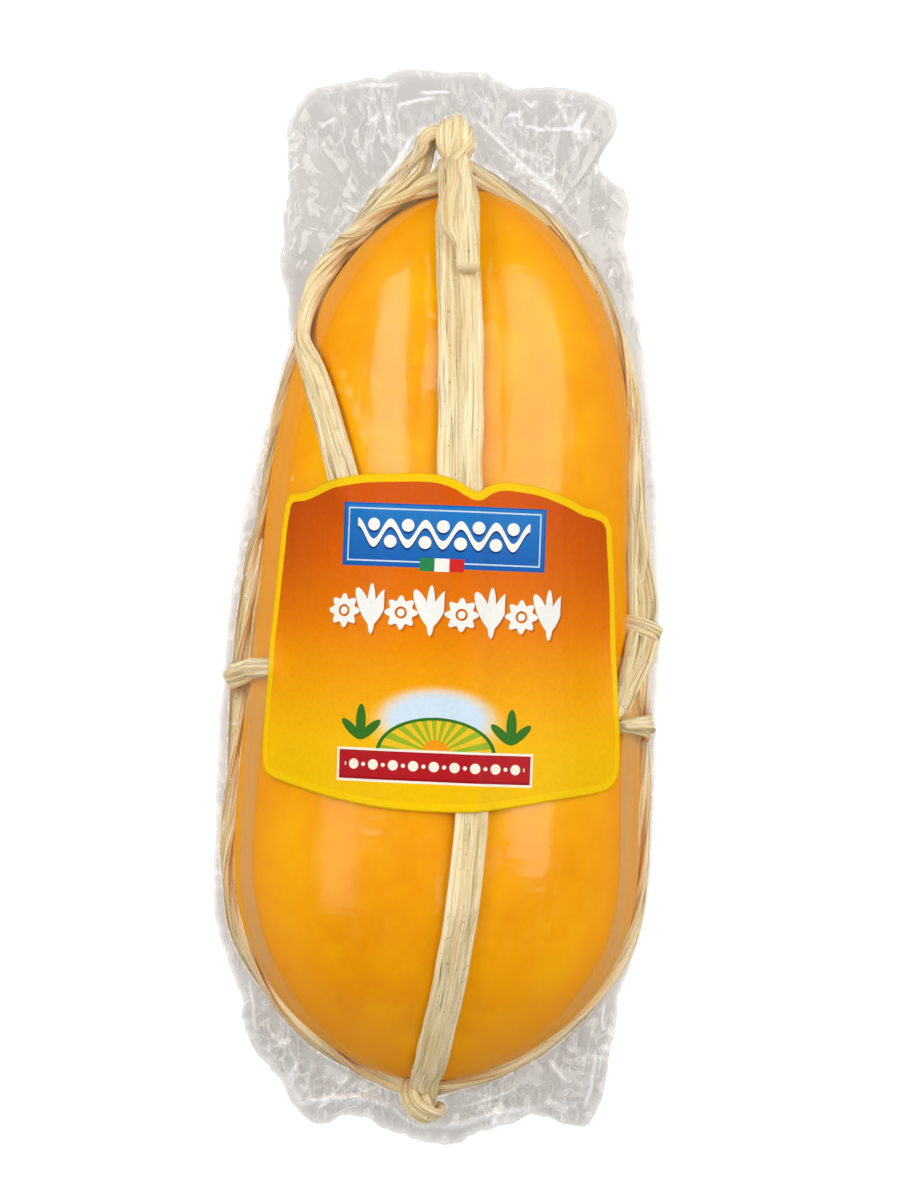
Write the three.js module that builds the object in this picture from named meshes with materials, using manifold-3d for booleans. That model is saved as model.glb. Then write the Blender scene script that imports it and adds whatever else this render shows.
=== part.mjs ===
// A smoked provola tied in raffia, with a paper label, in a clear shrink bag with a crinkled flange.
// Sizes are in millimetres. The pack lies on its back: X runs across it, Y runs along it towards the
// hanging knot, and Z rises out of the label. The origin is on the ground under the middle of the box.

import Module from 'manifold-3d';
import * as THREE from 'three';
import { mergeVertices } from 'three/addons/utils/BufferGeometryUtils.js';

// Clearance kept between neighbouring pieces
const gap = 0.35;

// The middle of the cheese's length, measured from the origin
const middle = new THREE.Vector3(0.95, -6.06, 0);

const cheese = {
  halfLength: 94,
  halfWidth: 42.3,
  depthRatio: 0.95,
  widestY: -45,
  taper: 0.16,
  taperCurve: 1.4,
  hangingFullness: 6,
  lowerFullness: 2.3,
  tipExponent: 0.588,
  lean: 0.008,
  restCut: 2.7,
  unevenness: 0.45,
  columns: 36,
  rows: 24,
};

const axisHeight = cheese.halfWidth * cheese.depthRatio - cheese.restCut;

// Each raffia course presses a soft groove into the cheese
const pressedDepth = { front: 1.5, left: 1.2, right: 1.2 };
const pressedReach = { front: 7.5, left: 5.5, right: 6 };

// Angles go round the long axis from the label side, positive towards +X
const leftAngle = THREE.MathUtils.degToRad(-90);
const rightAngle = { hanging: THREE.MathUtils.degToRad(88), waist: THREE.MathUtils.degToRad(76) };

const band = { upperHalfWidth: 4.8, lowerHalfWidth: 3.6, halfThick: 1.2 };
const sideBand = { halfWidth: 3.3, halfThick: 1.1 };
const backBand = { halfWidth: 4.2, halfThick: 1.0 };
const girdle = { halfWidth: 3.0, halfThick: 0.9, rightY: -17.2, leftY: -9.6 };

// How far the raffia on the resting side stays up inside the flat
const flush = 0.1;
const diagonal = { halfWidth: 2.7, halfThick: 0.9 };
const tail = { halfWidth: 4.2, halfThick: 1.6, cutY: 75.4 };

const topKnot = {
  centre: new THREE.Vector3(-3.4, 103.2, axisHeight + 1.5),
  half: new THREE.Vector3(4.1, 5.6, 4.3),
};

const lowerKnot = {
  centre: new THREE.Vector3(-1.1, -97.6, axisHeight + 2.5),
  half: new THREE.Vector3(4.0, 4.3, 4.4),
};

const rightKnot = {
  y: 2.4,
  angle: THREE.MathUtils.degToRad(74),
  half: new THREE.Vector3(3.0, 3.6, 3.6),
};

const label = {
  thickness: 0.4,
  lift: 0.75,
  overBand: 0.95,
  overDiagonal: 2.6,
  overGirdle: 1.9,
  columns: 16,
  rows: 8,
};

const bag = {
  rimHalf: 0.7,
  endSlope: 0.42,
  sideSlope: 0.75,
  thickest: 12,
  flutter: 1.6,
  crinkle: 0.7,
  columns: 54,
  ringDistances: [0, 4, 12, 30],
  roomColumns: 30,
  roomRows: 20,
  overStrand: 2.9,
};

const looks = {
  rind: { color: 0xf29a14, roughness: 0.3, metalness: 0 },
  raffia: { color: 0xd9c795, roughness: 0.75, metalness: 0 },
  paper: { color: 0xf2a81c, roughness: 0.35, metalness: 0 },
  film: { color: 0xdcd9d6, roughness: 0.15, metalness: 0, transparent: true, opacity: 0.35 },
};

const wasm = await Module();
wasm.setup();

// Reads a value from [y, value] stations, easing between them
function course(stations, y) {
  const last = stations.length - 1;
  if (y >= stations[0][0]) return stations[0][1];
  if (y <= stations[last][0]) return stations[last][1];
  const next = stations.findIndex(([stationY]) => stationY < y);
  const [fromY, from] = stations[next - 1];
  const [toY, to] = stations[next];
  return THREE.MathUtils.lerp(from, to, (fromY - y) / (fromY - toY));
}

// Half-width of the cheese at y, as a share of its widest half-width
function girth(y) {
  const fromWidest = THREE.MathUtils.clamp(y, -cheese.halfLength, cheese.halfLength) - cheese.widestY;
  const hanging = fromWidest > 0;
  const reach = cheese.halfLength - (hanging ? cheese.widestY : -cheese.widestY);
  const part = Math.min(Math.abs(fromWidest) / reach, 1);
  const fullness = hanging ? cheese.hangingFullness : cheese.lowerFullness;
  const narrowing = hanging ? 1 - cheese.taper * part ** cheese.taperCurve : 1;
  return narrowing * (1 - part ** fullness) ** cheese.tipExponent;
}

// Slope of the side of the cheese, as the sideways and lengthwise parts of its outward normal
function sideNormal(y) {
  const step = 0.4;
  const high = Math.min(y + step, cheese.halfLength);
  const low = Math.max(y - step, -cheese.halfLength);
  const slope = cheese.halfWidth * (girth(high) - girth(low)) / (high - low);
  const steep = Math.hypot(1, slope);
  return { sideways: 1 / steep, lengthwise: -slope / steep };
}

// How far the front band of raffia wanders across the cheese
const frontCourse = [[94, -2.4], [77, -1.6], [60, -0.2], [33, 0.9], [-5, 4.2], [-36, 6.5], [-57, 5.3],
  [-72, 3.5], [-87, 0.9], [-94, -1.0]];

function frontAngle(y) {
  const half = Math.max(cheese.halfWidth * girth(y), 1);
  return Math.asin(THREE.MathUtils.clamp(course(frontCourse, y) / half, -0.9, 0.9));
}

function rightCourse(y) {
  const toWaist = THREE.MathUtils.smoothstep(90 - y, 0, 60);
  const pastKnot = THREE.MathUtils.smoothstep(-y, 0, 30);
  const waist = THREE.MathUtils.lerp(rightAngle.hanging, rightAngle.waist, toWaist);
  return THREE.MathUtils.lerp(waist, rightAngle.hanging, pastKnot);
}

// Depth of the grooves under the raffia at one place on the cheese
function pressed(y, angle) {
  const share = girth(y);
  const radius = cheese.halfWidth * share;
  const fade = Math.min(1, share / 0.6) ** 2;
  const centres = { front: frontAngle(y), left: leftAngle, right: rightCourse(y) };
  let depth = 0;
  for (const [side, centre] of Object.entries(centres)) {
    const turn = Math.atan2(Math.sin(angle - centre), Math.cos(angle - centre));
    const aside = turn * radius / pressedReach[side];
    depth += pressedDepth[side] * Math.exp(-aside * aside);
  }
  return depth * fade;
}

// Slow dips and swells of a hand-shaped cheese
function uneven(y, angle) {
  const slow = Math.sin(0.045 * y + 1.3) * Math.cos(2 * angle + 0.6);
  const small = 0.6 * Math.sin(0.09 * y - 3 * angle);
  return cheese.unevenness * (slow + small) * girth(y);
}

// A point at a height above the cheese, in the cheese's own frame
function onCheese(y, angle, height = 0) {
  const half = cheese.halfWidth * girth(y);
  const normal = sideNormal(y);
  const out = height + uneven(y, angle) - pressed(y, angle);
  const across = half + out * normal.sideways;
  const deep = half * cheese.depthRatio + out * normal.sideways;
  return new THREE.Vector3(
    cheese.lean * y + across * Math.sin(angle),
    y + out * normal.lengthwise,
    axisHeight + deep * Math.cos(angle),
  );
}

// Stations along the cheese, closer together where its ends turn in; part 0 is the hanging tip
function stationY(part) {
  const hangingShare = 0.66;
  const hangingReach = cheese.halfLength - cheese.widestY;
  const lowerReach = cheese.halfLength + cheese.widestY;
  const quarter = Math.PI / 2;
  if (part < hangingShare) return cheese.widestY + hangingReach * Math.cos(part / hangingShare * quarter);
  return cheese.widestY - lowerReach * Math.sin((part - hangingShare) / (1 - hangingShare) * quarter);
}

// A closed round grid of columns and rows; pointAt gets shares of the way round and from pole to pole
function roundGrid(columns, rows, pointAt) {
  const geometry = new THREE.SphereGeometry(1, columns, rows);
  const place = geometry.getAttribute('position');
  for (let i = 0; i < place.count; i += 1) {
    const row = Math.floor(i / (columns + 1));
    const isPole = row === 0 || row === rows;
    const column = isPole ? 0 : (i % (columns + 1)) % columns;
    const point = pointAt(column / columns, row / rows);
    place.setXYZ(i, point.x, point.y, point.z);
  }
  return geometry;
}

function cheeseSolid(grow = 0) {
  return solidOf(roundGrid(cheese.columns, cheese.rows, (round, part) => {
    const point = onCheese(stationY(part), 2 * Math.PI * round - Math.PI / 2, grow);
    point.z = Math.max(point.z, -grow);
    return point;
  }));
}

// The space inside the film: the cheese with the strands down its two sides
function filledSolid() {
  const crowding = 0.38;
  return solidOf(roundGrid(bag.roomColumns, bag.roomRows, (round, part) => {
    const y = stationY(part);
    const even = 2 * Math.PI * round - Math.PI / 2;
    const angle = even + crowding * Math.sin(2 * even);
    const radius = cheese.halfWidth * girth(y);
    let ridge = 0;
    for (const centre of [leftAngle, rightCourse(y)]) {
      const turn = Math.atan2(Math.sin(angle - centre), Math.cos(angle - centre));
      ridge = Math.max(ridge, Math.exp(-((turn * radius / 4.6) ** 4)));
    }
    return onCheese(y, angle, gap + ridge * bag.overStrand);
  }));
}

// A closed mesh as a solid that can be joined and cut
function solidOf(geometry) {
  const bare = geometry.clone();
  bare.deleteAttribute('normal');
  bare.deleteAttribute('uv');
  const merged = mergeVertices(bare, 1e-4);
  return new wasm.Manifold(new wasm.Mesh({
    numProp: 3,
    vertProperties: new Float32Array(merged.getAttribute('position').array),
    triVerts: new Uint32Array(merged.getIndex().array),
  }));
}

function geometryOf(solid) {
  const mesh = solid.getMesh();
  const geometry = new THREE.BufferGeometry();
  geometry.setAttribute('position', new THREE.BufferAttribute(new Float32Array(mesh.vertProperties), 3));
  geometry.setIndex(new THREE.BufferAttribute(new Uint32Array(mesh.triVerts), 1));
  geometry.computeVertexNormals();
  return geometry;
}

// Cuts the neighbours out of a piece and keeps the largest part that is left
function cutBy(solid, cutters) {
  let left = solid;
  for (const cutter of cutters) left = left.subtract(cutter);
  const parts = left.decompose();
  parts.sort((a, b) => b.volume() - a.volume());
  return parts[0];
}

// The point of the cheese's inner axis that faces a place outside it
function coreFacing(place) {
  const coreY = THREE.MathUtils.clamp(place.y, -58, 62);
  return new THREE.Vector3(cheese.lean * coreY, coreY, axisHeight);
}

// A raffia route whose section stays flat against the cheese, and whose width and thickness may change
class RaffiaRoute extends THREE.CatmullRomCurve3 {
  constructor(points, halfWidthAt, halfThickAt) {
    super(points, false, 'centripetal');
    this.halfWidthAt = halfWidthAt;
    this.halfThickAt = halfThickAt;
  }

  computeFrenetFrames(segments) {
    const frames = { tangents: [], normals: [], binormals: [] };
    for (let i = 0; i <= segments; i += 1) {
      const part = i / segments;
      const place = this.getPointAt(part);
      const tangent = this.getTangentAt(part);
      const outward = place.clone().sub(coreFacing(place));
      const across = new THREE.Vector3().crossVectors(tangent, outward).normalize();
      const through = new THREE.Vector3().crossVectors(tangent, across);
      frames.tangents.push(tangent);
      frames.normals.push(across.multiplyScalar(this.halfWidthAt(part)));
      frames.binormals.push(through.multiplyScalar(this.halfThickAt(part)));
    }
    return frames;
  }
}

// The flattened section of a raffia strip, one unit to each side, with a flat towards the cheese
const flatSideReach = 0.9;

function stripSection(sides) {
  const flatness = 0.75;
  const firstCorner = sides % 4 === 0 ? 0.5 : 0;
  const corners = [];
  for (let i = 0; i < sides; i += 1) {
    const turn = (i + firstCorner) / sides * 2 * Math.PI;
    const across = Math.sign(Math.cos(turn)) * Math.abs(Math.cos(turn)) ** flatness;
    const through = Math.sign(Math.sin(turn)) * Math.abs(Math.sin(turn)) ** flatness;
    corners.push(new THREE.Vector2(across, through));
  }
  return new THREE.Shape(corners);
}

function raffiaSolid({ points, halfWidth, halfThick, steps, sides = 6 }, grow = 0) {
  const widthAt = (part) => (typeof halfWidth === 'function' ? halfWidth(part) : halfWidth) + grow;
  const thickAt = () => halfThick + grow;
  const route = new RaffiaRoute(points, widthAt, thickAt);
  return solidOf(new THREE.ExtrudeGeometry(stripSection(sides), { steps, extrudePath: route }));
}

// Keeps a height above a floor, turning smoothly from the one to the other
function keptAbove(height, floor) {
  const turning = 0.6;
  const over = height - floor;
  return floor + (over + Math.hypot(over, turning)) / 2;
}

// Narrows a strand towards the knots at its two ends
function gathered(full, end, share = 0.12) {
  return (part) => {
    const fromEnd = Math.min(part, 1 - part);
    return THREE.MathUtils.lerp(end, full(part), THREE.MathUtils.smoothstep(fromEnd, 0, share));
  };
}

// Points at one height over the cheese, from one share of its length to another
function courseOverCheese({ fromPart, toPart, count, angleAt, height }) {
  const points = [];
  for (let i = 0; i <= count; i += 1) {
    const y = stationY(THREE.MathUtils.lerp(fromPart, toPart, i / count));
    points.push(onCheese(y, angleAt(y), height));
  }
  return points;
}

function beside(knot, x, y, z) {
  return knot.centre.clone().add(new THREE.Vector3(x, y, z));
}

function frontBand() {
  const height = gap + band.halfThick;
  const over = courseOverCheese({ fromPart: 0.1, toPart: 0.94, count: 22, angleAt: frontAngle, height });
  const points = [beside(topKnot, 0.6, -3, 1.5), ...over, beside(lowerKnot, 0.3, 1, 2.5)];
  const full = (part) => THREE.MathUtils.lerp(band.upperHalfWidth, band.lowerHalfWidth,
    THREE.MathUtils.smoothstep(part, 0.4, 0.62));
  return { points, halfWidth: gathered(full, 2.4, 0.1), halfThick: band.halfThick, steps: 24, sides: 8 };
}

// Over the resting side the strand is pressed flush, and it dips further in where the girdle crosses it
function backStrand() {
  const points = [beside(topKnot, 0.3, -3, -1.5)];
  const floor = flush + flatSideReach * backBand.halfThick;
  const crossingReach = 4.8;
  const count = 44;
  for (let i = 0; i <= count; i += 1) {
    const y = stationY(THREE.MathUtils.lerp(0.1, 0.94, i / count));
    const point = onCheese(y, Math.PI - 0.03, gap + backBand.halfThick);
    const crossing = Math.exp(-(((y - girdleBackY) / crossingReach) ** 2));
    const deeper = (2 * girdle.halfThick + gap) * crossing;
    point.z = keptAbove(point.z, floor) + deeper;
    points.push(point);
  }
  points.push(beside(lowerKnot, 0.2, 1, -2.5));
  return {
    points,
    halfWidth: gathered(() => backBand.halfWidth, 2.3, 0.1),
    halfThick: backBand.halfThick,
    steps: 34,
  };
}

function leftStrand() {
  const height = gap + sideBand.halfThick;
  const angleAt = () => leftAngle;
  const over = courseOverCheese({ fromPart: 0.09, toPart: 0.95, count: 22, angleAt, height });
  const points = [beside(topKnot, -1.5, -5, 0.5), ...over, beside(lowerKnot, -2, 1, 0)];
  return {
    points,
    halfWidth: gathered(() => sideBand.halfWidth, 2.0, 0.1),
    halfThick: sideBand.halfThick,
    steps: 28,
  };
}

function rightStrand() {
  const height = gap + sideBand.halfThick;
  const over = courseOverCheese({ fromPart: 0.09, toPart: 0.95, count: 22, angleAt: rightCourse, height });
  const points = [beside(topKnot, 2.5, -4, 0.5), ...over, beside(lowerKnot, 2, 1, 0)];
  return {
    points,
    halfWidth: gathered(() => sideBand.halfWidth, 2.0, 0.1),
    halfThick: sideBand.halfThick,
    steps: 28,
  };
}

// The girdle starts under the label's right edge, rounds the back and ends under the label's left edge
const girdleTurn = { from: THREE.MathUtils.degToRad(60), to: THREE.MathUtils.degToRad(303) };
const girdleBackY = THREE.MathUtils.lerp(girdle.rightY, girdle.leftY, 0.5);

function girdleStrand() {
  const points = [];
  const count = 26;
  for (let i = 0; i <= count; i += 1) {
    const part = i / count;
    const angle = THREE.MathUtils.lerp(girdleTurn.from, girdleTurn.to, part);
    const y = THREE.MathUtils.lerp(girdle.rightY, girdle.leftY, part);
    const strands = [rightCourse(y), 2 * Math.PI + leftAngle];
    let over = 0;
    for (const centre of strands) {
      const aside = (angle - centre) * cheese.halfWidth / 6.5;
      over = Math.max(over, (2 * sideBand.halfThick + 2 * gap) * Math.exp(-(aside ** 4)));
    }
    const point = onCheese(y, angle, gap + girdle.halfThick + over);
    point.z = keptAbove(point.z, flush + flatSideReach * girdle.halfThick);
    points.push(point);
  }
  return { points, halfWidth: girdle.halfWidth, halfThick: girdle.halfThick, steps: 38 };
}

// From the top knot down outside the left strand, over it, and across the shoulder to under the label
function loopStrand() {
  const points = [
    beside(topKnot, -3.2, 1.5, -1.0),
    new THREE.Vector3(-11.5, 98.8, axisHeight),
    new THREE.Vector3(-17.6, 91.6, axisHeight + 2.2),
  ];
  const over = 2 * sideBand.halfThick + 2 * gap + diagonal.halfThick;
  const shoulder = [[84, -83, over], [78, -76, over], [71, -68, over - 1], [64, -60, gap + 1.1],
    [56, -50, gap + 1], [44, -39.5, gap + 1], [32.3, -33.5, gap + 1], [24, -29.5, gap + 1]];
  for (const [y, degrees, height] of shoulder) {
    points.push(onCheese(y, THREE.MathUtils.degToRad(degrees), height));
  }
  return { points, halfWidth: diagonal.halfWidth, halfThick: diagonal.halfThick, steps: 24 };
}

// The cut end of the hanging cord, folded down over the front band
function tailStrand() {
  const height = 2 * band.halfThick + 2 * gap + tail.halfThick;
  const points = [beside(topKnot, 0.3, -2.8, 5.9), beside(topKnot, 0.7, -5, 6.6)];
  for (const [y, x] of [[91, -1.4], [86, -0.8], [81, 0.2], [tail.cutY, 1.2]]) {
    const half = cheese.halfWidth * girth(y);
    points.push(onCheese(y, Math.asin(x / half), height));
  }
  return {
    points,
    halfWidth: (part) => tail.halfWidth - 0.8 * (1 - part),
    halfThick: tail.halfThick,
    steps: 9,
    sides: 8,
  };
}

// The doubled end of the girdle, from the right knot down to the girdle
function rightLobe() {
  const places = [[1.0, 73], [-4, 69.5], [-9, 66], [-13.2, 64]];
  const points = places.map(([y, degrees]) => onCheese(y, THREE.MathUtils.degToRad(degrees), 2.0));
  return { points, halfWidth: 2.9, halfThick: 1.4, steps: 7 };
}

// A knot as a lump with the ridges of the strip wound round it
function knotSolid({ centre, half }, grow = 0) {
  const turns = 3;
  const ridge = 0.07;
  return solidOf(roundGrid(14, 10, (round, part) => {
    const around = 2 * Math.PI * round;
    const polar = Math.PI * part;
    const wound = 1 + ridge * Math.sin(turns * Math.PI * Math.cos(polar) + 2 * around) * Math.sin(polar);
    const point = new THREE.Vector3().setFromSphericalCoords(wound, polar, around + Math.PI / 2);
    point.multiply(half);
    return point.addScaledVector(point.clone().normalize(), grow).add(centre);
  }));
}

// The turn of raffia round the neck of the hanging knot and the folded cord
function collarSolid(grow = 0) {
  const collar = new THREE.TorusGeometry(4.6, 1.25 + grow, 6, 12);
  collar.rotateX(Math.PI / 2 + 0.15);
  const centre = beside(topKnot, 0.6, -2.6, 2.0);
  collar.translate(centre.x, centre.y, centre.z);
  return solidOf(collar);
}

function topKnotSolid(grow = 0) {
  return knotSolid(topKnot, grow).add(collarSolid(grow));
}

// Height that the label keeps over the cheese, where it rides over the raffia beneath it
function labelHeight(y, angle) {
  const radius = cheese.halfWidth * girth(y);
  const overFront = Math.exp(-(((angle - frontAngle(y)) * radius / 7) ** 4));
  const diagonalAngle = THREE.MathUtils.degToRad(THREE.MathUtils.mapLinear(y, 44, 24, -39.5, -29.5));
  const reachesDown = THREE.MathUtils.smoothstep(y, 14, 22);
  const overDiagonal = Math.exp(-(((angle - diagonalAngle) * radius / 4.6) ** 4)) * reachesDown;
  const reachesLeft = THREE.MathUtils.smoothstep(-angle, 0.78, 0.9);
  const overGirdle = Math.exp(-(((y - girdle.leftY) / 4.4) ** 4)) * reachesLeft;
  const overLines = Math.max(label.overDiagonal * overDiagonal, label.overGirdle * overGirdle);
  return label.lift + pressed(y, angle) + Math.max(label.overBand * overFront, overLines);
}

// Outline of the label seen from the front: two shallow arches over straight sides and a bowed foot
function labelOutline() {
  const shape = new THREE.Shape();
  shape.moveTo(-32.6, -31.1);
  shape.quadraticCurveTo(-36.9, -30.2, -36.6, -25.2);
  shape.quadraticCurveTo(-36.1, -2, -34.9, 21.5);
  shape.quadraticCurveTo(-34.6, 27.3, -31.8, 28.4);
  shape.quadraticCurveTo(-12.5, 36.6, 4.4, 28.9);
  shape.quadraticCurveTo(10.5, 34.6, 27.6, 27.0);
  shape.quadraticCurveTo(32.4, 27.4, 32.7, 21.6);
  shape.quadraticCurveTo(34.8, 0, 35.9, -24.5);
  shape.quadraticCurveTo(36.0, -30.2, 31.5, -31.4);
  shape.quadraticCurveTo(0, -39.6, -32.6, -31.1);
  return shape;
}

function labelSolid() {
  const plate = new THREE.BoxGeometry(2, 2, 2, label.columns, label.rows, 1);
  const place = plate.getAttribute('position');
  for (let i = 0; i < place.count; i += 1) {
    const angle = THREE.MathUtils.degToRad(THREE.MathUtils.mapLinear(place.getX(i), -1, 1, -70, 70));
    const y = THREE.MathUtils.mapLinear(place.getY(i), -1, 1, -38, 35);
    const outer = place.getZ(i) > 0 ? label.thickness : 0;
    const point = onCheese(y, angle, labelHeight(y, angle) + outer);
    place.setXYZ(i, point.x, point.y, point.z);
  }
  const reach = { depth: 60, bevelEnabled: false, curveSegments: 6 };
  const cutter = new THREE.ExtrudeGeometry(labelOutline(), reach);
  cutter.translate(0, 0, axisHeight);
  return solidOf(plate).intersect(solidOf(cutter));
}

// Rim of the sealed bag: hanging flange, waist, lower flange and its two feet, going round from the right waist
const bagRim = [[44.6, -20], [44.2, 6], [41.2, 42], [38.4, 62], [34.2, 82], [33.6, 94], [27.6, 100],
  [31.2, 109], [25, 115.4], [10, 115.8], [-2, 118.4], [-24, 116.2], [-36.2, 109], [-37.6, 92], [-37.8, 77],
  [-36, 62], [-39.6, 44], [-44.4, 20], [-46.8, -12], [-46.9, -40], [-45, -62], [-40.2, -76], [-39, -87],
  [-31.5, -95], [-24.5, -103.4], [-15, -101.4], [-2, -106.6], [10, -104.6], [21, -100.8], [33.8, -101.6],
  [37, -92], [38.8, -78], [42.2, -62], [44.6, -45]];

function bagLensSolid() {
  const rings = bag.ringDistances.length;
  const corners = bagRim.map(([x, y]) => new THREE.Vector3(x, y, 0));
  const rim = new THREE.CatmullRomCurve3(corners, true, 'centripetal');
  return solidOf(roundGrid(bag.columns, 2 * rings, (round, part) => {
    const ring = Math.round(Math.abs(0.5 - part) * 2 * rings);
    const side = Math.sign(0.5 - part);
    if (ring === rings) return new THREE.Vector3(0, 0, axisHeight + side * bag.thickest);
    const edge = rim.getPoint(round);
    const inward = coreFacing(edge).setZ(0).sub(edge);
    const reach = inward.length();
    const endShare = THREE.MathUtils.smoothstep(Math.abs(edge.y), 55, 90);
    const ripple = bag.crinkle * (1 + Math.sin(61 * 2 * Math.PI * round)) * endShare * (ring === 0 ? 1 : 0);
    const distance = Math.min(bag.ringDistances[ring] + ripple, 0.9 * reach);
    edge.addScaledVector(inward, distance / reach);
    const slope = THREE.MathUtils.lerp(bag.sideSlope, bag.endSlope, endShare);
    const half = Math.min(bag.rimHalf + slope * distance, bag.thickest);
    const loose = bag.flutter * endShare * Math.max(0, 1 - distance / 14);
    edge.z = axisHeight + loose * Math.sin(9 * 2 * Math.PI * round) + side * half;
    return edge;
  }));
}

const strands = {
  raffia_front: frontBand(),
  raffia_back: backStrand(),
  raffia_left: leftStrand(),
  raffia_right: rightStrand(),
  raffia_girdle: girdleStrand(),
  raffia_loop: loopStrand(),
  raffia_tail: tailStrand(),
  raffia_lobe: rightLobe(),
};

function grownStrand(name) {
  return raffiaSolid(strands[name], gap);
}

function rightKnotPlace() {
  const centre = onCheese(rightKnot.y, rightKnot.angle, 2.4);
  return { centre, half: rightKnot.half };
}

// The free space round the hanging knot, where the film stands off the raffia like a tent
function neckRoom() {
  const profile = [[0, -17], [25, -17], [16.5, -4], [9.5, 8], [7.6, 14], [4.5, 17.2], [0, 18]];
  const room = new THREE.LatheGeometry(profile.map(([radius, y]) => new THREE.Vector2(radius, y)), 18);
  room.scale(1, 1, 0.95);
  room.translate(-3.2, 94.4, axisHeight);
  return solidOf(room);
}

function lowerRoom() {
  const room = new THREE.SphereGeometry(1, 12, 8);
  room.scale(9.5, 6.6, 9.5);
  room.translate(lowerKnot.centre.x, lowerKnot.centre.y, axisHeight);
  return solidOf(room);
}

// Pieces in the order in which they take their room; each later one is cut clear of the earlier ones
function tiedPieces() {
  const raw = (name) => raffiaSolid(strands[name]);
  const grown = grownStrand;
  const endKnots = [topKnotSolid(gap), knotSolid(lowerKnot, gap)];
  const aroundKnots = [...endKnots, grown('raffia_front'), grown('raffia_back')];
  const aroundLobe = [grown('raffia_right'), grown('raffia_girdle'), knotSolid(rightKnotPlace(), gap)];
  return {
    knot_top: topKnotSolid(),
    knot_lower: knotSolid(lowerKnot),
    knot_right: cutBy(knotSolid(rightKnotPlace()), [grown('raffia_right'), cheeseSolid(gap)]),
    raffia_front: cutBy(raw('raffia_front'), endKnots),
    raffia_back: cutBy(raw('raffia_back'), [...endKnots, grown('raffia_girdle')]),
    raffia_left: cutBy(raw('raffia_left'), aroundKnots),
    raffia_right: cutBy(raw('raffia_right'), aroundKnots),
    raffia_girdle: raw('raffia_girdle'),
    raffia_lobe: cutBy(raw('raffia_lobe'), aroundLobe),
    raffia_tail: cutBy(raw('raffia_tail'), [topKnotSolid(gap), grown('raffia_front')]),
    raffia_loop: cutBy(raw('raffia_loop'), [topKnotSolid(gap), grown('raffia_left'), grown('raffia_tail')]),
  };
}

function meshOf(name, solid, look) {
  const mesh = new THREE.Mesh(geometryOf(solid), new THREE.MeshStandardMaterial(look));
  mesh.name = name;
  return mesh;
}

// The open bed in the resting flat where the back strand dips under the girdle
function crossingBed() {
  const bed = new THREE.BoxGeometry(5.4, 26, 5);
  bed.translate(onCheese(girdleBackY, Math.PI - 0.03).x, girdleBackY, 0);
  return solidOf(bed);
}

// The resting side is pressed over the raffia, and the lower tip round its knot
function beddedCheese() {
  const beds = [grownStrand('raffia_back'), grownStrand('raffia_girdle'), crossingBed()];
  return cutBy(cheeseSolid(), [...beds, knotSolid(lowerKnot, gap)]);
}

function bagSolid() {
  const passing = [grownStrand('raffia_girdle'), grownStrand('raffia_loop')];
  return cutBy(bagLensSolid(), [filledSolid(), neckRoom(), lowerRoom(), ...passing]);
}

const pack = new THREE.Group();
pack.position.copy(middle);
pack.add(meshOf('cheese', beddedCheese(), looks.rind));
for (const [name, solid] of Object.entries(tiedPieces())) {
  pack.add(meshOf(name, solid, looks.raffia));
}
pack.add(meshOf('label', labelSolid(), looks.paper));
pack.add(meshOf('bag', bagSolid(), looks.film));

export default pack;
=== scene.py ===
# Looks of a smoked provola tied in raffia, with a printed label, in a clear sealed bag.
# The pack lies on its back: X runs across it, Y along it towards the hanging knot, Z up out of the label.

import math
import random

import bmesh
import bpy
import numpy as np
from mathutils import Matrix, Vector, noise
from mathutils.bvhtree import BVHTree


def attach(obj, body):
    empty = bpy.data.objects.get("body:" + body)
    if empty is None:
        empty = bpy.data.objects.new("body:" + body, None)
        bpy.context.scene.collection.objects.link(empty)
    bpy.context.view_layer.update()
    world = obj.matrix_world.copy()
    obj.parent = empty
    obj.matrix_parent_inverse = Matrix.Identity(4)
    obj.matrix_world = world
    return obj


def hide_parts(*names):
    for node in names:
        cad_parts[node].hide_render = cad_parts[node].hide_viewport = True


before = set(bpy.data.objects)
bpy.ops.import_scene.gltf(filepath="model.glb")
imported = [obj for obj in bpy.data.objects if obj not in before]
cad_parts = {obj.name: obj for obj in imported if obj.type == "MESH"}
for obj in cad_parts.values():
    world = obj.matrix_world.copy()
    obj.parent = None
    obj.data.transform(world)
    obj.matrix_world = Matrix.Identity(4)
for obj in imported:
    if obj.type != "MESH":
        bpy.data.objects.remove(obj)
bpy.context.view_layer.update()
mm = 0.001
print("frame loaded")


def lerp(a, b, share):
    return a + (b - a) * share


def clamp(value, low=0.0, high=1.0):
    return max(low, min(high, value))


def smoothStep(value, start, end):
    share = clamp((value - start) / (end - start))
    return share * share * (3 - 2 * share)


def alongCourse(stations, at):
    # value at one place of a list of (place, value) stations whose places fall
    if at >= stations[0][0]:
        return stations[0][1]
    for (fromPlace, fromValue), (toPlace, toValue) in zip(stations, stations[1:]):
        if at > toPlace:
            return lerp(fromValue, toValue, (fromPlace - at) / (fromPlace - toPlace))
    return stations[-1][1]


def ripple(x, y, z=0.0):
    return noise.noise(Vector((x, y, z)))


def wrapped(angle):
    return math.atan2(math.sin(angle), math.cos(angle))


# The cheese's form, in millimetres from the middle of its length

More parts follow.
